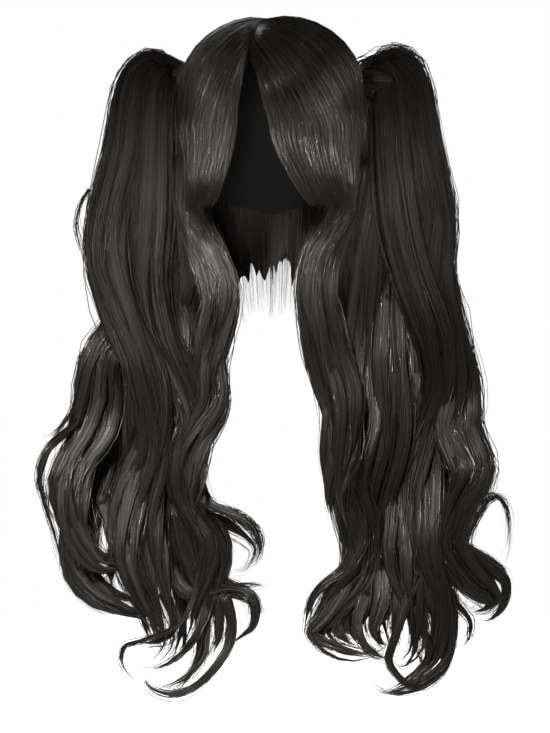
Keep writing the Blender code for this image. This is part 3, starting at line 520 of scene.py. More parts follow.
def crown_drop(share):
    return mix(SIDE_RIM_DROP, BACK_HAIR_DROP, smooth((share - BACK_START) / BACK_BLEND))


def relief(share, along, seed):
    """Soft ridges where the hair lies in tufts, from -1 to 1."""
    rng = np.random.default_rng(seed)
    total = 0
    for count, strength in ((11, 0.30), (29, 0.30), (67, 0.25), (131, 0.15)):
        phase, drift = rng.uniform(0, 2 * math.pi), rng.uniform(-0.8, 0.8)
        total = total + strength * np.sin(2 * math.pi * count * share + phase + drift * along)
    return total


Sheet = namedtuple("Sheet", "name side low high point drop tip strands seed")


def outer_height(sheet, share, along, drop, full):
    """How high above the head the hair's outer surface lies."""
    lift = mix(PART_EDGE, 1, smooth(along / PART_SLOPE))
    up_or_down = (along - SHOULDER_ALONG) / SHOULDER_LENGTH
    sideways = (share - SHOULDER_SHARE) / SHOULDER_BREADTH
    shoulder = SHOULDER * np.exp(-up_or_down ** 2 - sideways ** 2)
    ridges = RELIEF * relief(share, along + drop / 0.1, sheet.seed) * smooth(along / 0.2)
    body = (CROWN_HAIR + HAIR_LIFT) * lift + shoulder + ridges
    hanging = mix(body, INNER_HAIR + sheet.tip, 0.85 * smooth(drop / full))
    if sheet.low > 0:
        return hanging
    return mix(INNER_HAIR + FRONT_EDGE, hanging, smooth(share / 0.05))


def sheet_rows(on_head, below):
    """Rows from the part to the ends: along the head, and the share of the drop below it."""
    along = np.concatenate([np.linspace(0, 1, on_head + 1), np.ones(below)])
    fall = np.concatenate([np.zeros(on_head + 1), np.linspace(0, 1, below + 1)[1:]])
    return along, fall


def end_share(share, seed):
    """How far down the hair at this share reaches, as a share of the whole drop."""
    slow = np.sin(2 * math.pi * (5 * share + seed)) + 0.5 * np.sin(2 * math.pi * (13 * share + 2 * seed))
    return 0.93 + 0.03 * slow


def sheet_body(sheet, material):
    """The closed sheet under the strands."""
    along, fall = sheet_rows(BODY_STEPS_ON_HEAD, BODY_STEPS_BELOW)
    share = np.linspace(sheet.low, sheet.high, BODY_COLUMNS)[:, None]
    full = sheet.drop(share)
    if sheet.low == 0:
        covered = smooth((share - LONG_BANG_FROM) / 0.15)
        shorter = 1 - BODY_SHORTER * covered
    else:
        covered = smooth((share - BACK_START) / 0.06)
        shorter = 1 - BACK_BODY_SHORTER * covered
    rng = np.random.default_rng(sheet.seed + 50)
    ends = rng.uniform(SHORTEST_END, LONGEST_END, ENDS_ALONG_SHEET)
    ragged = np.interp(share, np.linspace(0, 1, ENDS_ALONG_SHEET), ends)
    drop = full * fall * end_share(share, sheet.seed) * shorter * (1 + covered * ragged)
    along, share = np.broadcast_arrays(along[None, :], share)
    outer = outer_height(sheet, share, along, drop, full) - BODY_DEPTH
    inner = np.full_like(outer, INNER_HAIR)
    outer = np.maximum(outer, inner + 0.0006)
    layers = [sheet.point(sheet.side, share, along, height, drop) for height in (outer, inner)]
    vertices = np.concatenate([layer.reshape(-1, 3) for layer in layers])
    columns, rows = share.shape
    index = np.arange(2 * columns * rows).reshape(2, columns, rows)

    def skin(grid):
        return np.stack([grid[:-1, :-1], grid[1:, :-1], grid[1:, 1:], grid[:-1, 1:]], -1).reshape(-1, 4)

    border = np.concatenate([
        index[:, :, 0].T, index[:, -1, :].T[1:], index[:, ::-1, -1].T[1:], index[:, 0, ::-1].T[1:],
    ])
    wall = np.stack([border[:-1, 0], border[1:, 0], border[1:, 1], border[:-1, 1]], -1)
    faces = np.concatenate([skin(index[0]), skin(index[1])[:, ::-1], wall[:, ::-1]])
    if sheet.side > 0:
        faces = faces[:, ::-1]
    fibre = np.tile(np.stack([share * 15, along + drop / 0.1], -1).reshape(-1, 2), (2, 1))
    return mesh_object(f"{sheet.name}_body", vertices, [faces], fibre, material)


def sheet_strands(sheet, material):
    """The strands over the sheet, gathered into tufts; at the back some hang inside it."""
    rng = np.random.default_rng(sheet.seed)
    along, fall = sheet_rows(STRAND_STEPS_ON_HEAD, STRAND_STEPS_BELOW)
    count = sheet.strands
    place = (np.arange(count) + rng.uniform(0, 1, count)) / count
    start = mix(sheet.low, sheet.high, place ** (CROWN_CROWDING if sheet.low > 0 else 1))
    way = np.linspace(0, 1, len(along))
    tuft = (np.floor(start * SHEET_TUFTS) + 0.5) / SHEET_TUFTS
    pull = (CROWN_PULL if sheet.low > 0 else BANG_PULL) * smooth(way - 0.15)
    wander = 0.005 * np.sin(
        2 * math.pi * (draws(rng, count, 0.4, 1.0) * way + draws(rng, count)))
    share = start[:, None] + (tuft - start)[:, None] * pull + wander * way
    share = np.clip(share, sheet.low, sheet.high)
    full = sheet.drop(share)
    tuft_reach = end_share(tuft, sheet.seed) + 0.05 + 0.03 * np.sin(tuft * 977)
    ragged = CROWN_RAGGED if sheet.low > 0 else BANG_RAGGED
    reach = tuft_reach[:, None] + 0.08 * (sheet.low > 0) - ragged * draws(rng, count) ** 2
    drop = full * fall * reach
    along = np.broadcast_to(along, share.shape)
    lift = draws(rng, count, -0.0013, 0.0009)
    bow = 0.00025 * np.sin(2 * math.pi * (2.0 * way + draws(rng, count)))
    height = outer_height(sheet, share, along, drop, full) + (lift + bow) * smooth(along / 0.1)
    if sheet.low > 0:
        inside = (draws(rng, count) < INSIDE_SHARE) * smooth((share - BACK_START) / 0.05)
        deeper = smooth((drop - draws(rng, count, 0, 0.04)) / 0.05)
        height = mix(height, INNER_HAIR - 0.0006, inside * deeper)
    points = sheet.point(sheet.side, share, along, height, drop)
    radii = strand_radii(count, share.shape[1], rng)
    return tubes(f"{sheet.name}_strands", points, radii, rng.uniform(0, 40, count), material)


# Locks

Line = namedtuple("Line", "centre across outward half thick need length")


def make_line(centre, half, thick, across=None):
    """A centre line with the directions and half axes of its section; need says where it bends most."""
    tangent = unit(np.gradient(centre, axis=0))
    if across is None:
        across = np.cross(tangent, FACING)
        for i in range(1, len(across)):
            if np.linalg.norm(across[i]) < 0.4:
                across[i] = across[i - 1]
    across = unit(across - (across * tangent).sum(-1, keepdims=True) * tangent)
    steps = np.linalg.norm(np.diff(centre, axis=0), axis=1)
    turning = np.linalg.norm(np.diff(tangent, axis=0), axis=1)
    need = np.concatenate([[0], np.cumsum(steps + TURN_COST * turning)])
    return Line(centre, across, np.cross(across, tangent), half, thick, need / need[-1], steps.sum())


def line_through(points, halves, flatness):
    """A smooth line through points, with evenly spaced stations."""
    last = len(points) - 1
    at = np.linspace(0, last, STATIONS)
    index = np.minimum(at.astype(int), last - 1)
    share = (at - index)[:, None]
    p0, p1 = points[np.maximum(index - 1, 0)], points[index]
    p2, p3 = points[index + 1], points[np.minimum(index + 2, last)]
    centre = 0.5 * (
        2 * p1 + (p2 - p0) * share + (2 * p0 - 5 * p1 + 4 * p2 - p3) * share ** 2
        + (3 * p1 - p0 - 3 * p2 + p3) * share ** 3)
    travelled = np.concatenate([[0], np.cumsum(np.linalg.norm(np.diff(centre, axis=0), axis=1))])
    even = np.linspace(0, travelled[-1], STATIONS)
    centre = np.stack([np.interp(even, travelled, centre[:, k]) for k in range(3)], -1)
    half = np.interp(even, travelled, np.interp(at, np.arange(last + 1), halves))
    return make_line(centre, half, half * flatness)


def read_line(line, at):
    """centre, across, outward, half and thick at the shares `at` of the line's length."""
    place = at * (len(line.half) - 1)
    index = np.minimum(place.astype(int), len(line.half) - 2)
    share = place - index

    def read(values):
        part = share if values.ndim == 1 else share[..., None]
        return values[index] * (1 - part) + values[index + 1] * part

    return [read(values) for values in line[:5]]


def steps_along(line, end, count):
    """Shares from 0 to `end`, closer together where the line bends."""
    stations = np.linspace(0, 1, len(line.need))
    whole = np.interp(end, stations, line.need)
    return np.interp(whole * np.linspace(0, 1, count), line.need, stations)


def tufts_of(line, rng):
    """The tufts that a lock divides into, which swing apart towards its end."""
    tufts = []
    for k in range(TUFTS_PER_LOCK):
        end = 1 - TUFT_SHORTENING * rng.uniform() ** 1.6
        at = steps_along(line, end, TUFT_RINGS)
        centre, across, outward, half, thick = read_line(line, at)
        turn = 2 * math.pi * (k + rng.uniform(-0.3, 0.3)) / TUFTS_PER_LOCK + rng.uniform(-0.6, 1.4) * at
        apart = smooth(at / 0.6)
        place = TUFT_PLACE * rng.uniform(0.85, 1.12) * mix(0.82, 1.0, apart)
        swing = TUFT_SWING * smooth((at - 0.12) / 0.6) * np.minimum(1, half / 0.006)
        wave = 2 * math.pi * (at * line.length / rng.uniform(0.10, 0.19) + rng.uniform())
        point = (
            centre + across * (place * np.cos(turn) * half + swing * np.sin(wave))[:, None]
            + outward * (place * np.sin(turn) * thick + 0.8 * swing * np.cos(wave))[:, None])
        taper = np.minimum(1, (1 - at / end) / 0.22 + 0.02) ** 0.6
        size = TUFT_SIZE * rng.uniform(0.85, 1.15) * taper * mix(0.90, 1.0, apart)
        breadths = np.maximum(half * size, THINNEST_TUFT), np.maximum(thick * size * 1.25, THINNEST_TUFT)
        tufts.append(make_line(point, *breadths, across))
    return tufts


def strands_of(line, count, nearest, farthest, rng):
    """Strand points (count, steps, 3) over the surface of one tuft."""
    angle = draws(rng, count, 0, 2 * math.pi)
    radius = draws(rng, count, nearest, farthest)
    end = 1 - 0.22 * draws(rng, count) ** 2
    at = steps_along(line, end, STRAND_SEGMENTS + 1)
    centre, across, outward, half, thick = read_line(line, at)
    turn = angle + rng.uniform(-0.5, 0.9) * at
    stray = draws(rng, count) < STRAY_SHARE
    loose = STRAND_SWING + STRAY_SWING * stray * smooth((at - 0.1) / 0.5)
    waves = draws(rng, count, 1.5, 4.5) * at * line.length / 0.5
    wave = 2 * math.pi * (waves + draws(rng, count))
    spread = STRAND_SPREAD * (0.4 + 0.6 * smooth(at))
    x = radius * np.cos(turn) * (half + spread) + loose * np.sin(wave)
    y = radius * np.sin(turn) * (thick + spread) + loose * np.cos(wave)
    uneven = STRAND_UNEVENNESS * rng.uniform(-1, 1, (*at.shape, 3))
    return centre + across * x[..., None] + outward * y[..., None] + uneven


def tube_body(line, size, sides, mark):
    """Vertices, side faces, end faces and fibre places of a ridged tube along a line."""
    rings = len(line.half)
    turn = 2 * math.pi * np.arange(sides) / sides
    at = np.linspace(0, 1, rings)[:, None]
    ridges = 1 + 0.07 * np.sin(3 * turn + mark + 2 * at) + 0.05 * np.sin(5 * turn + 2 * mark)
    reach = size * ridges
    x, y = reach * np.cos(turn) * line.half[:, None], reach * np.sin(turn) * line.thick[:, None]
    points = line.centre[:, None] + line.across[:, None] * x[..., None] + line.outward[:, None] * y[..., None]
    index = np.arange(rings * sides).reshape(rings, sides)
    low, high = index[:-1], index[1:]
    quads = np.stack([low, high, np.roll(high, -1, 1), np.roll(low, -1, 1)], -1).reshape(-1, 4)
    caps = np.stack([index[0], index[-1, ::-1]])
    around = np.minimum(turn, 2 * math.pi - turn) / math.pi
    fibre = np.stack([np.broadcast_to(mark * 7 + around, x.shape), np.broadcast_to(at, x.shape)], -1)
    return points.reshape(-1, 3), quads, caps, fibre.reshape(-1, 2)


def joined_bodies(name, bodies, material):
    """One object of tube bodies that all have the same number of sides."""
    starts = np.cumsum([0] + [len(body[0]) for body in bodies[:-1]])
    quads = np.concatenate([body[1] + start for body, start in zip(bodies, starts)])
    caps = np.concatenate([body[2] + start for body, start in zip(bodies, starts)])
    vertices = np.concatenate([body[0] for body in bodies])
    fibre = np.concatenate([body[3] for body in bodies])
    return mesh_object(name, vertices, [quads, caps], fibre, material)


def thinner(line, rings, size, end, taper=0.3):
    """The body of a lock, tuft or curl: fewer rings, and tapered before its end."""
    at = steps_along(line, end, rings)
    centre, across, _, half, thick = read_line(line, at)
    size = size * np.minimum(1, (1 - at / end) / taper + 0.03)
    return make_line(centre, half * size, thick * size, across)


def pigtail_place(side, down, out, fore):
    """As in the part: the waves also swing from front to back, more lower down."""
    phase = 2 * math.pi * (FORE_WAVE_COUNT * down - fore + out)
    swing = FORE_WAVE * smooth(2 * (down - FORE_WAVE_START)) * np.sin(phase)
    return np.stack([
        side * (PIGTAIL_ROOT_X + out * PIGTAIL_REACH),
        PIGTAIL_Y + (fore + swing) * PIGTAIL_DEPTH,
        PIGTAIL_TOP - down * PIGTAIL_DROP,
    ], -1)


def side_lock_place(side, down, out, fore):
    top = -HEAD_SIZES[2] - SIDE_RIM_DROP - SIDE_LOCK_GAP
    return np.stack([
        side * (SIDE_LOCK_X + out * SIDE_LOCK_SWAY),
        SIDE_LOCK_Y - fore * SIDE_LOCK_FORWARD,
        top - down * SIDE_LOCK_DROP,
    ], -1)


def lock_line(side, bends, place, full_breadth, flatness):
    down, out, fore, breadth = np.array(bends).T
    return line_through(place(side, down, out, fore), breadth * full_breadth / 2, flatness)


def wisp_line(side, wisp):
    down, out, fore = np.array(wisp.places).T / 1000
    half = wisp.breadth / 2 * np.linspace(1, 0.1, len(wisp.places))
    return line_through(pigtail_place(side, down, out, fore), half, 0.6)


def long_bang_strands(sheet, side_line, material):
    """The outer strands of the fringe, which run on down over the side lock."""
    rng = np.random.default_rng(sheet.seed + 90)
    count = LONG_BANG_STRANDS
    start = mix(LONG_BANG_FROM, sheet.high, rng.uniform(0, 1, count))[:, None]
    on_head, below = 9, 13
    along = np.concatenate([np.linspace(0, 1, on_head), np.ones(below)])[None]
    lowest = mix(LONG_BANG_SHORTEST, LONG_BANG_LONGEST, draws(rng, count) ** 1.5)
    drop = lowest * np.concatenate([np.zeros(on_head), np.linspace(0, 1, below + 1)[1:]])[None]
    way = np.linspace(0, 1, on_head + below)[None]
    tuft = (np.floor(start * SHEET_TUFTS) + 0.5) / SHEET_TUFTS
    share = mix(start, tuft, 0.8 * smooth((way - 0.3) / 0.6))
    share, along, drop = np.broadcast_arrays(share, along, drop)
    hanging = np.minimum(drop, 1.4 * BANG_DROP)
    thinning = np.minimum(drop, 0.4 * BANG_DROP)
    height = outer_height(sheet, share, along, thinning, np.full_like(share, BANG_DROP))
    height = height + draws(rng, count, -0.0003, 0.0014) * smooth(along / 0.1)
    over_head = sheet.point(sheet.side, share, along, height, hanging)
    over_head[..., 2] -= drop - hanging
    at = np.interp(HEAD_SIZES[2] + drop, -side_line.centre[:, 2], np.linspace(0, 1, STATIONS))
    centre, across, outward, half, thick = read_line(side_line, at)
    aside = sheet.side * (1 - 2 * (share - LONG_BANG_FROM) / (sheet.high - LONG_BANG_FROM)) * 0.9
    front = np.sqrt(1 - np.minimum(0.95, np.abs(aside)) ** 2) * draws(rng, count, 0.95, 1.2)
    over_lock = centre + across * (aside * half)[..., None] + outward * (front * thick)[..., None]
    points = mix(over_head, over_lock, smooth((drop - 0.048) / 0.075)[..., None])
    radii = strand_radii(count, points.shape[1], rng)
    return tubes(f"{sheet.name}_long_strands", points, radii, rng.uniform(0, 40, count), material)


def strands_piece(name, groups, rng, material):
    """One object of all the strands of (line, count, nearest, farthest) groups."""
    points = np.concatenate([strands_of(*group, rng) for group in groups])
    radii = strand_radii(len(points), points.shape[1], rng)
    return tubes(name, points, radii, rng.uniform(0, 40, len(points)), material)


def strand_count(line, per_metre, fewest=FEWEST_STRANDS):
    girth = 2 * (line.half.mean() + line.thick.mean())
    return max(fewest, round(per_metre * girth * line.length))


def hair_of_locks(node, lines, wisps, seed, materials, pieces):
    """The cores, tufts and strands that take the place of one node of locks."""
    rng = np.random.default_rng(seed)
    cores = [tube_body(thinner(line, 30, CORE_SIZE, 0.9), 1, TUFT_SIDES, k) for k, line in enumerate(lines)]
    tufts = [tuft for line in lines for tuft in tufts_of(line, rng)]
    curls = [thinner(wisp, TUFT_RINGS, 1, 1.0) for wisp in wisps]
    bodies = [thinner(tuft, TUFT_RINGS, BODY_SIZE, TUFT_BODY_END, 0.08) for tuft in tufts]
    bodies += [thinner(curl, TUFT_RINGS, BODY_SIZE, CURL_BODY_END) for curl in curls]
    tuft_bodies = [tube_body(body, 1, TUFT_SIDES, k * 0.7) for k, body in enumerate(bodies)]
    strand_material, body_material = materials
    dress(joined_bodies(f"{node}_tufts", cores + tuft_bodies, body_material), node)
    groups = [(tuft, strand_count(tuft, STRANDS_PER_METRE), 0.78, 1.22) for tuft in tufts]
    groups += [(curl, strand_count(curl, STRANDS_PER_METRE, FEWEST_IN_A_WISP), 0.60, 1.15) for curl in curls]
    groups += [(line, strand_count(line, COVER_STRANDS_PER_METRE), 0.86, 0.98) for line in lines]
    for k in range(pieces):
        dress(strands_piece(f"{node}_strands_{k + 1}", groups[k::pieces], rng, strand_material), node)


# The cap

CAP_DEPTH = 0.170
CAP_NARROWING = 0.12
RimPoint = namedtuple("RimPoint", "angle depth")
CAP_RIM = [
    RimPoint(0, 0.17),
    RimPoint(30, 0.24),
    RimPoint(52, 0.46),
    RimPoint(72, 0.72),
    RimPoint(84, 0.70),
    RimPoint(104, 0.58),
    RimPoint(128, 0.74),
    RimPoint(152, 0.95),
    RimPoint(180, 1.00),
]
WEFT_SPACING = 0.0075
WEFT_HEIGHT = 0.0020
CAP_COLUMNS = 72
CAP_ROWS = 64


def cap_point(angle, share, height):
    """angle runs from the front round the head; share runs from the top to the rim."""
    rim = np.interp(np.abs(angle), [row.angle for row in CAP_RIM], [row.depth for row in CAP_RIM])
    z = -CAP_DEPTH * rim * (1 - np.cos(share * math.pi / 2))
    turn = np.radians(angle)
    level = head_point(np.stack([np.sin(turn), -np.cos(turn), 0 * turn], -1), height)
    crown = HEAD_SIZES[2]
    below = np.maximum(0, -crown - z)
    rise = np.clip((z + crown) / crown, 0, 1)
    keep = (1 - rise ** HEAD_SQUARENESS) ** (1 / HEAD_SQUARENESS)
    keep = keep * (1 - CAP_NARROWING * (below / (CAP_DEPTH - crown)) ** 2)
    up = np.where(below > 0, -crown - below, -crown + rise * (crown + height))
    return np.stack([level[..., 0] * keep, level[..., 1] * keep, up], -1)


def make_cap(material):
    """The net cap with the rows of wefts that the hair is sewn to."""
    columns, rows = CAP_COLUMNS, CAP_ROWS
    turns = np.linspace(-180, 180, columns + 1)[:-1]
    angle, share = np.meshgrid(turns, np.linspace(0.03, 1, rows), indexing="ij")
    flat = np.zeros_like(angle)
    level = cap_point(angle, share, flat)[..., 2]
    weft = np.maximum(0, np.cos(2 * math.pi * level / WEFT_SPACING)) ** 3 * smooth(share / 0.15)
    inner = cap_point(angle, share, 0.0005 - WEFT_HEIGHT * weft)
    outer = cap_point(angle, share, flat + CAP_WALL)
    middles = [[0, 0, CAP_WALL], [0, 0, 0.0004]]
    vertices = np.concatenate([outer.reshape(-1, 3), inner.reshape(-1, 3), middles])
    index = np.arange(2 * columns * rows).reshape(2, columns, rows)
    around = np.roll(index, -1, 1)
    skins = [
        np.stack([index[0, :, :-1], index[0, :, 1:], around[0, :, 1:], around[0, :, :-1]], -1),
        np.stack([index[1, :, :-1], around[1, :, :-1], around[1, :, 1:], index[1, :, 1:]], -1),
        np.stack([index[0, :, -1:], index[1, :, -1:], around[1, :, -1:], around[0, :, -1:]], -1),
    ]
    tops = 2 * columns * rows
    lids = np.concatenate([
        np.stack([np.full(columns, tops), index[0, :, 0], around[0, :, 0]], -1),
        np.stack([np.full(columns, tops + 1), around[1, :, 0], index[1, :, 0]], -1),
    ])
    quads = np.concatenate([skin.reshape(-1, 4) for skin in skins])
    fibre = vertices[:, [0, 2]] * 10
    dress(mesh_object("cap_net_shell", vertices, [quads, lids], fibre, material), "cap")


# Materials

# Roughness of the shiniest and of the dullest fibres
SHINY_FIBRE = 0.15
DULL_FIBRE = 0.40


def new_material(name):
    material = bpy.data.materials.new(name)
    material.use_nodes = True
    nodes = material.node_tree.nodes
    return material, nodes, material.node_tree.links, nodes["Principled BSDF"]


def set_inputs(node, **values):
    """Constants on a node's own sockets; an underscore in a name stands for a space."""
    for name, value in values.items():
        node.inputs[name.replace("_", " ")].default_value = value


def stretched_noise(nodes, links, source, across, along, detail=3.0):
    """Noise in streaks along the fibres."""
    scaling = nodes.new("ShaderNodeVectorMath")
    scaling.operation = "MULTIPLY"
    scaling.inputs[1].default_value = (across, along, 1)
    links.new(source, scaling.inputs[0])
    noise = nodes.new("ShaderNodeTexNoise")
    set_inputs(noise, Scale=1, Detail=detail)
    links.new(scaling.outputs[0], noise.inputs["Vector"])
    return noise.outputs["Fac"]


def ramp(nodes, links, source, stops):
    node = nodes.new("ShaderNodeValToRGB")
    for element, (place, colour) in zip(node.color_ramp.elements, (stops[0], stops[-1])):
        element.position = place
        element.color = (*colour, 1)
    for place, colour in stops[1:-1]:
        node.color_ramp.elements.new(place).color = (*colour, 1)
    links.new(source, node.inputs["Fac"])
    return node.outputs["Color"]


def add_bump(nodes, links, shader, height, strength, distance):
    bump = nodes.new("ShaderNodeBump")
    set_inputs(bump, Strength=strength, Distance=distance)
    links.new(height, bump.inputs["Height"])
    links.new(bump.outputs["Normal"], shader.inputs["Normal"])


def make_hair_material(name, rougher, specular, grooves, groove_depth):
    """Glossy fibres, streaked along their length."""
    material, nodes, links, shader = new_material(name)
    fibre = nodes.new("ShaderNodeUVMap")
    fibre.uv_map = "Fibre"
    tone = stretched_noise(nodes, links, fibre.outputs["UV"], 9.0, 0.8)
    colour = ramp(nodes, links, tone, [
        (0.25, (0.0012, 0.0010, 0.0009)), (0.5, (0.0026, 0.0020, 0.0017)), (0.8, (0.008, 0.0054, 0.0040)),
    ])
    links.new(colour, shader.inputs["Base Color"])
    gloss = ramp(nodes, links, stretched_noise(nodes, links, fibre.outputs["UV"], 38.0, 1.5), [
        (0.42, (SHINY_FIBRE + rougher,) * 3), (0.58, (DULL_FIBRE + rougher,) * 3),
    ])
    links.new(gloss, shader.inputs["Roughness"])
    height = stretched_noise(nodes, links, fibre.outputs["UV"], grooves, 0.5, 2.0)
    add_bump(nodes, links, shader, height, groove_depth, 0.0012)
    set_inputs(shader, Specular_Tint=(1.0, 0.93, 0.86, 1), IOR=1.5, Specular_IOR_Level=specular)
    return material


def make_net_material(name, colour, lighter, thread, specular=0.15, sheen=0.03):
    """Knitted net: fine crossing threads over the base colour."""
    material, nodes, links, shader = new_material(name)
    place = nodes.new("ShaderNodeTexCoord")
    waves = []
    for turn in (45, -45):
        turned = nodes.new("ShaderNodeMapping")
        turned.inputs["Rotation"].default_value = (0, math.radians(turn), 0)
        links.new(place.outputs["Object"], turned.inputs["Vector"])
        wave = nodes.new("ShaderNodeTexWave")
        wave.bands_direction = "X"
        set_inputs(wave, Scale=1 / thread, Distortion=0.4)
        links.new(turned.outputs["Vector"], wave.inputs["Vector"])
        waves.append(wave.outputs["Fac"])
    net = nodes.new("ShaderNodeMath")
    net.operation = "MAXIMUM"
    links.new(waves[0], net.inputs[0])
    links.new(waves[1], net.inputs[1])
    knitted = ramp(nodes, links, net.outputs[0], [(0.45, colour), (0.9, lighter)])
    links.new(knitted, shader.inputs["Base Color"])
    add_bump(nodes, links, shader, net.outputs[0], 0.5, 0.0004)
    set_inputs(shader, Roughness=0.8, Specular_IOR_Level=specular, Sheen_Weight=sheen)
    return material


def make_clip_material():
    """Satin black plastic."""
    material, nodes, links, shader = new_material("clip_plastic")
    place = nodes.new("ShaderNodeTexCoord")
    noise = nodes.new("ShaderNodeTexNoise")
    set_inputs(noise, Scale=900)
    links.new(place.outputs["Object"], noise.inputs["Vector"])
    black = ramp(nodes, links, noise.outputs["Fac"], [
        (0.3, (0.002, 0.0019, 0.0018)), (0.7, (0.004, 0.0037, 0.0035)),
    ])
    links.new(black, shader.inputs["Base Color"])
    add_bump(nodes, links, shader, noise.outputs["Fac"], 0.15, 0.0002)
    set_inputs(shader, Roughness=0.55, Specular_IOR_Level=0.2)
    return material


def dress_node(frame, name, material):
    for slot in frame["nodes"][name].material_slots:
        slot.material = material


# Stage

PHOTO_PIXELS = (550, 733)
METRES_PER_PIXEL = 0.00095
VIEW_CENTRE = Vector((0.003, 0, -0.3187))
CAMERA_DISTANCE = 3.4
FLOOR_Z = -0.72
FLOOR_RADIUS = 2.4
FLOOR_SIDES = 96
FLOOR_SEEN = 0.85
FLOOR_LIGHT = 0.30
WORLD_LIGHT = 0.27
LIGHT_COLOUR = (1, 0.98, 0.96)
LIGHT_AIM = (0, 0, -0.3)

# Broad lights on the whole part
Lamp = namedtuple("Lamp", "name place aim size power")
LAMPS = [
    Lamp("top", (-0.6, -2.2, 2.0), (0, 0, -0.2), (0.8, 0.5), 9),
    Lamp("side", (2.6, -1.0, 0.6), LIGHT_AIM, (0.5, 0.5), 10),
    Lamp("back", (-0.5, 2.6, 1.3), LIGHT_AIM, (0.9, 0.6), 60),
]

# Soft beams on the fringe, on the waves and on the tops of the pigtails
Spot = namedtuple("Spot", "name place aim degrees power")
SPOTS = [
    Spot("fringe_left", (-0.22, -2.0, -0.45), (-0.058, 0, -0.134), 2.9, 1250),
    Spot("fringe_right", (0.09, -1.6, -0.49), (0.036, 0, -0.136), 3.9, 950),
    Spot("waves", (-0.5, -2.7, 1.20), (-0.01, 0, -0.50), 12.8, 1500),
    Spot("waves_left", (-1.3, -2.4, 0.9), (-0.12, 0, -0.42), 7.5, 900),
    Spot("top_left", (-0.35, -3.0, 0.10), (-0.135, 0, -0.11), 4.2, 330),
    Spot("top_right", (0.45, -3.0, 0.10), (0.140, 0, -0.11), 4.2, 330),
]


def make_camera():
    data = bpy.data.cameras.new("camera")
    data.sensor_fit = "VERTICAL"
    data.sensor_height = 36
    data.lens = data.sensor_height * CAMERA_DISTANCE / (PHOTO_PIXELS[1] * METRES_PER_PIXEL)
    camera = bpy.data.objects.new("camera", data)
    camera.location = VIEW_CENTRE + Vector((0, -CAMERA_DISTANCE, 0))
    camera.rotation_euler = (math.radians(90), 0, 0)
    bpy.context.scene.collection.objects.link(camera)
    bpy.context.scene.camera = camera


def make_stage():
    """A round pale floor, bright where the camera sees it and dim in what it sends to the hair."""
    material, nodes, links, shader = new_material("stage_white")
    set_inputs(shader, Base_Color=(0.60, 0.60, 0.60, 1), Roughness=0.9, Specular_IOR_Level=0)
    set_inputs(shader, Emission_Color=(1, 1, 1, 1))
    path = nodes.new("ShaderNodeLightPath")
    glow = nodes.new("ShaderNodeMapRange")
    set_inputs(glow, To_Min=FLOOR_LIGHT, To_Max=FLOOR_SEEN)
    links.new(path.outputs["Is Camera Ray"], glow.inputs["Value"])
    links.new(glow.outputs["Result"], shader.inputs["Emission Strength"])
    turns = [2 * math.pi * i / FLOOR_SIDES for i in range(FLOOR_SIDES)]
    rim = [(FLOOR_RADIUS * math.cos(a), FLOOR_RADIUS * math.sin(a), FLOOR_Z) for a in turns]
    mesh = bpy.data.meshes.new("floor")
    mesh.from_pydata(rim, [], [tuple(range(FLOOR_SIDES))])
    mesh.materials.append(material)
    floor = bpy.data.objects.new("floor", mesh)
    bpy.context.scene.collection.objects.link(floor)


def place_light(data, lamp):
    light = bpy.data.objects.new(lamp.name, data)
    light.location = lamp.place
    light.rotation_euler = (Vector(lamp.aim) - Vector(lamp.place)).to_track_quat("-Z", "Y").to_euler()
    bpy.context.scene.collection.objects.link(light)


def make_lights():
    for lamp in LAMPS:
        data = bpy.data.lights.new(lamp.name, "AREA")
        data.shape = "RECTANGLE"
        data.size, data.size_y = lamp.size
        data.energy = lamp.power
        data.color = LIGHT_COLOUR
        place_light(data, lamp)
    for spot in SPOTS:
        data = bpy.data.lights.new(spot.name, "SPOT")
        data.spot_size = math.radians(spot.degrees)
        data.spot_blend = 1.0
        data.shadow_soft_size = 0.10
        data.energy = spot.power
        place_light(data, spot)


def make_world():
    """White where the camera sees it, and a dim even light on the hair."""
    world = bpy.data.worlds.new("studio")
    world.use_nodes = True
    nodes, links = world.node_tree.nodes, world.node_tree.links
    dim = nodes["Background"]
    set_inputs(dim, Color=(*LIGHT_COLOUR, 1), Strength=WORLD_LIGHT)
    bright = nodes.new("ShaderNodeBackground")
    set_inputs(bright, Color=(1, 1, 1, 1), Strength=1.0)
    seen = nodes.new("ShaderNodeMixShader")
    path = nodes.new("ShaderNodeLightPath")
    links.new(path.outputs["Is Camera Ray"], seen.inputs[0])
    links.new(dim.outputs[0], seen.inputs[1])
    links.new(bright.outputs[0], seen.inputs[2])
    links.new(seen.outputs[0], nodes["World Output"].inputs["Surface"])
    bpy.context.scene.world = world
    bpy.context.scene.view_settings.view_transform = "Standard"


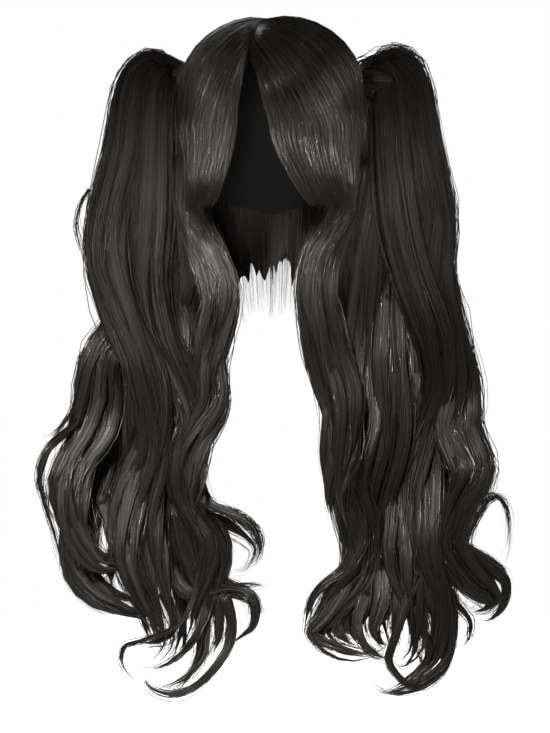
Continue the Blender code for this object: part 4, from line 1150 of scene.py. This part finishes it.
def dress_all(frame):
    """Every piece and its material, the left side of the photograph first."""
    hair = make_hair_material("hair", 0.0, 0.5, 30.0, 0.40)
    under_hair = make_hair_material("under_hair", 0.12, 0.20, 55.0, 0.7)
    black, dark = (0.0008, 0.0007, 0.0007), (0.0035, 0.0032, 0.0030)
    make_cap(make_net_material("cap_net", black, dark, 0.004, specular=0.05, sheen=0.0))
    skin, light_skin = (0.30, 0.25, 0.21), (0.55, 0.48, 0.42)
    dress_node(frame, "part_strip", make_net_material("part_net", skin, light_skin, 0.002))
    clip = make_clip_material()
    for side, word, locks, wisps, side_bends in (
        (-1, "left", LEFT_LOCKS, LEFT_WISPS, LEFT_SIDE_LOCK),
        (1, "right", RIGHT_LOCKS, RIGHT_WISPS, RIGHT_SIDE_LOCK),
    ):
        dress_node(frame, f"clip_{word}", clip)
        bang = Sheet(
            f"bang_{word}", side, 0.0, BANG_SHARE, bang_point, bang_drop, BANG_TIP, BANG_STRANDS,
            SEED + side)
        crown = Sheet(
            f"crown_hair_{word}", side, BANG_SHARE, 1.0, hair_point, crown_drop, CROWN_TIP, CROWN_STRANDS,
            SEED + 4 + side)
        for sheet in (bang, crown):
            dress(sheet_body(sheet, under_hair), sheet.name)
            dress(sheet_strands(sheet, hair), sheet.name)
        lines = [
            lock_line(side, bends, pigtail_place, LOCK_BREADTH, LOCK_FLATNESS)
            for bends in (*locks.values(), FILL_BENDS)
        ]
        root = [bend._replace(down=bend.down + ROOT_DROP[word]) for bend in ROOT_BENDS]
        lines.append(lock_line(side, root, pigtail_place, LOCK_BREADTH, ROOT_FLATNESS))
        thin = [wisp_line(side, wisp) for wisp in wisps]
        hair_of_locks(f"pigtail_{word}", lines, thin, SEED + 20 + side, (hair, under_hair), 2)
        side_line = lock_line(side, side_bends, side_lock_place, SIDE_LOCK_BREADTH, SIDE_LOCK_FLATNESS)
        dress(long_bang_strands(bang, side_line, hair), bang.name)
        hair_of_locks(f"side_lock_{word}", [side_line], [], SEED + 40 + side, (hair, under_hair), 1)


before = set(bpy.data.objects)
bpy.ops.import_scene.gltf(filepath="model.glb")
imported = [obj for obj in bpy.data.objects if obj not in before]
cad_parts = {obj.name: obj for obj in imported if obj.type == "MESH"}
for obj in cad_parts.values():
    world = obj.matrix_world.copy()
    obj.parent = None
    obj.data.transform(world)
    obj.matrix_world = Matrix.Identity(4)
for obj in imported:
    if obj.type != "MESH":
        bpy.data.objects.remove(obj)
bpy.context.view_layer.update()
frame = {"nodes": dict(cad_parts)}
make_camera()
make_stage()
make_world()
make_lights()
dress_all(frame)
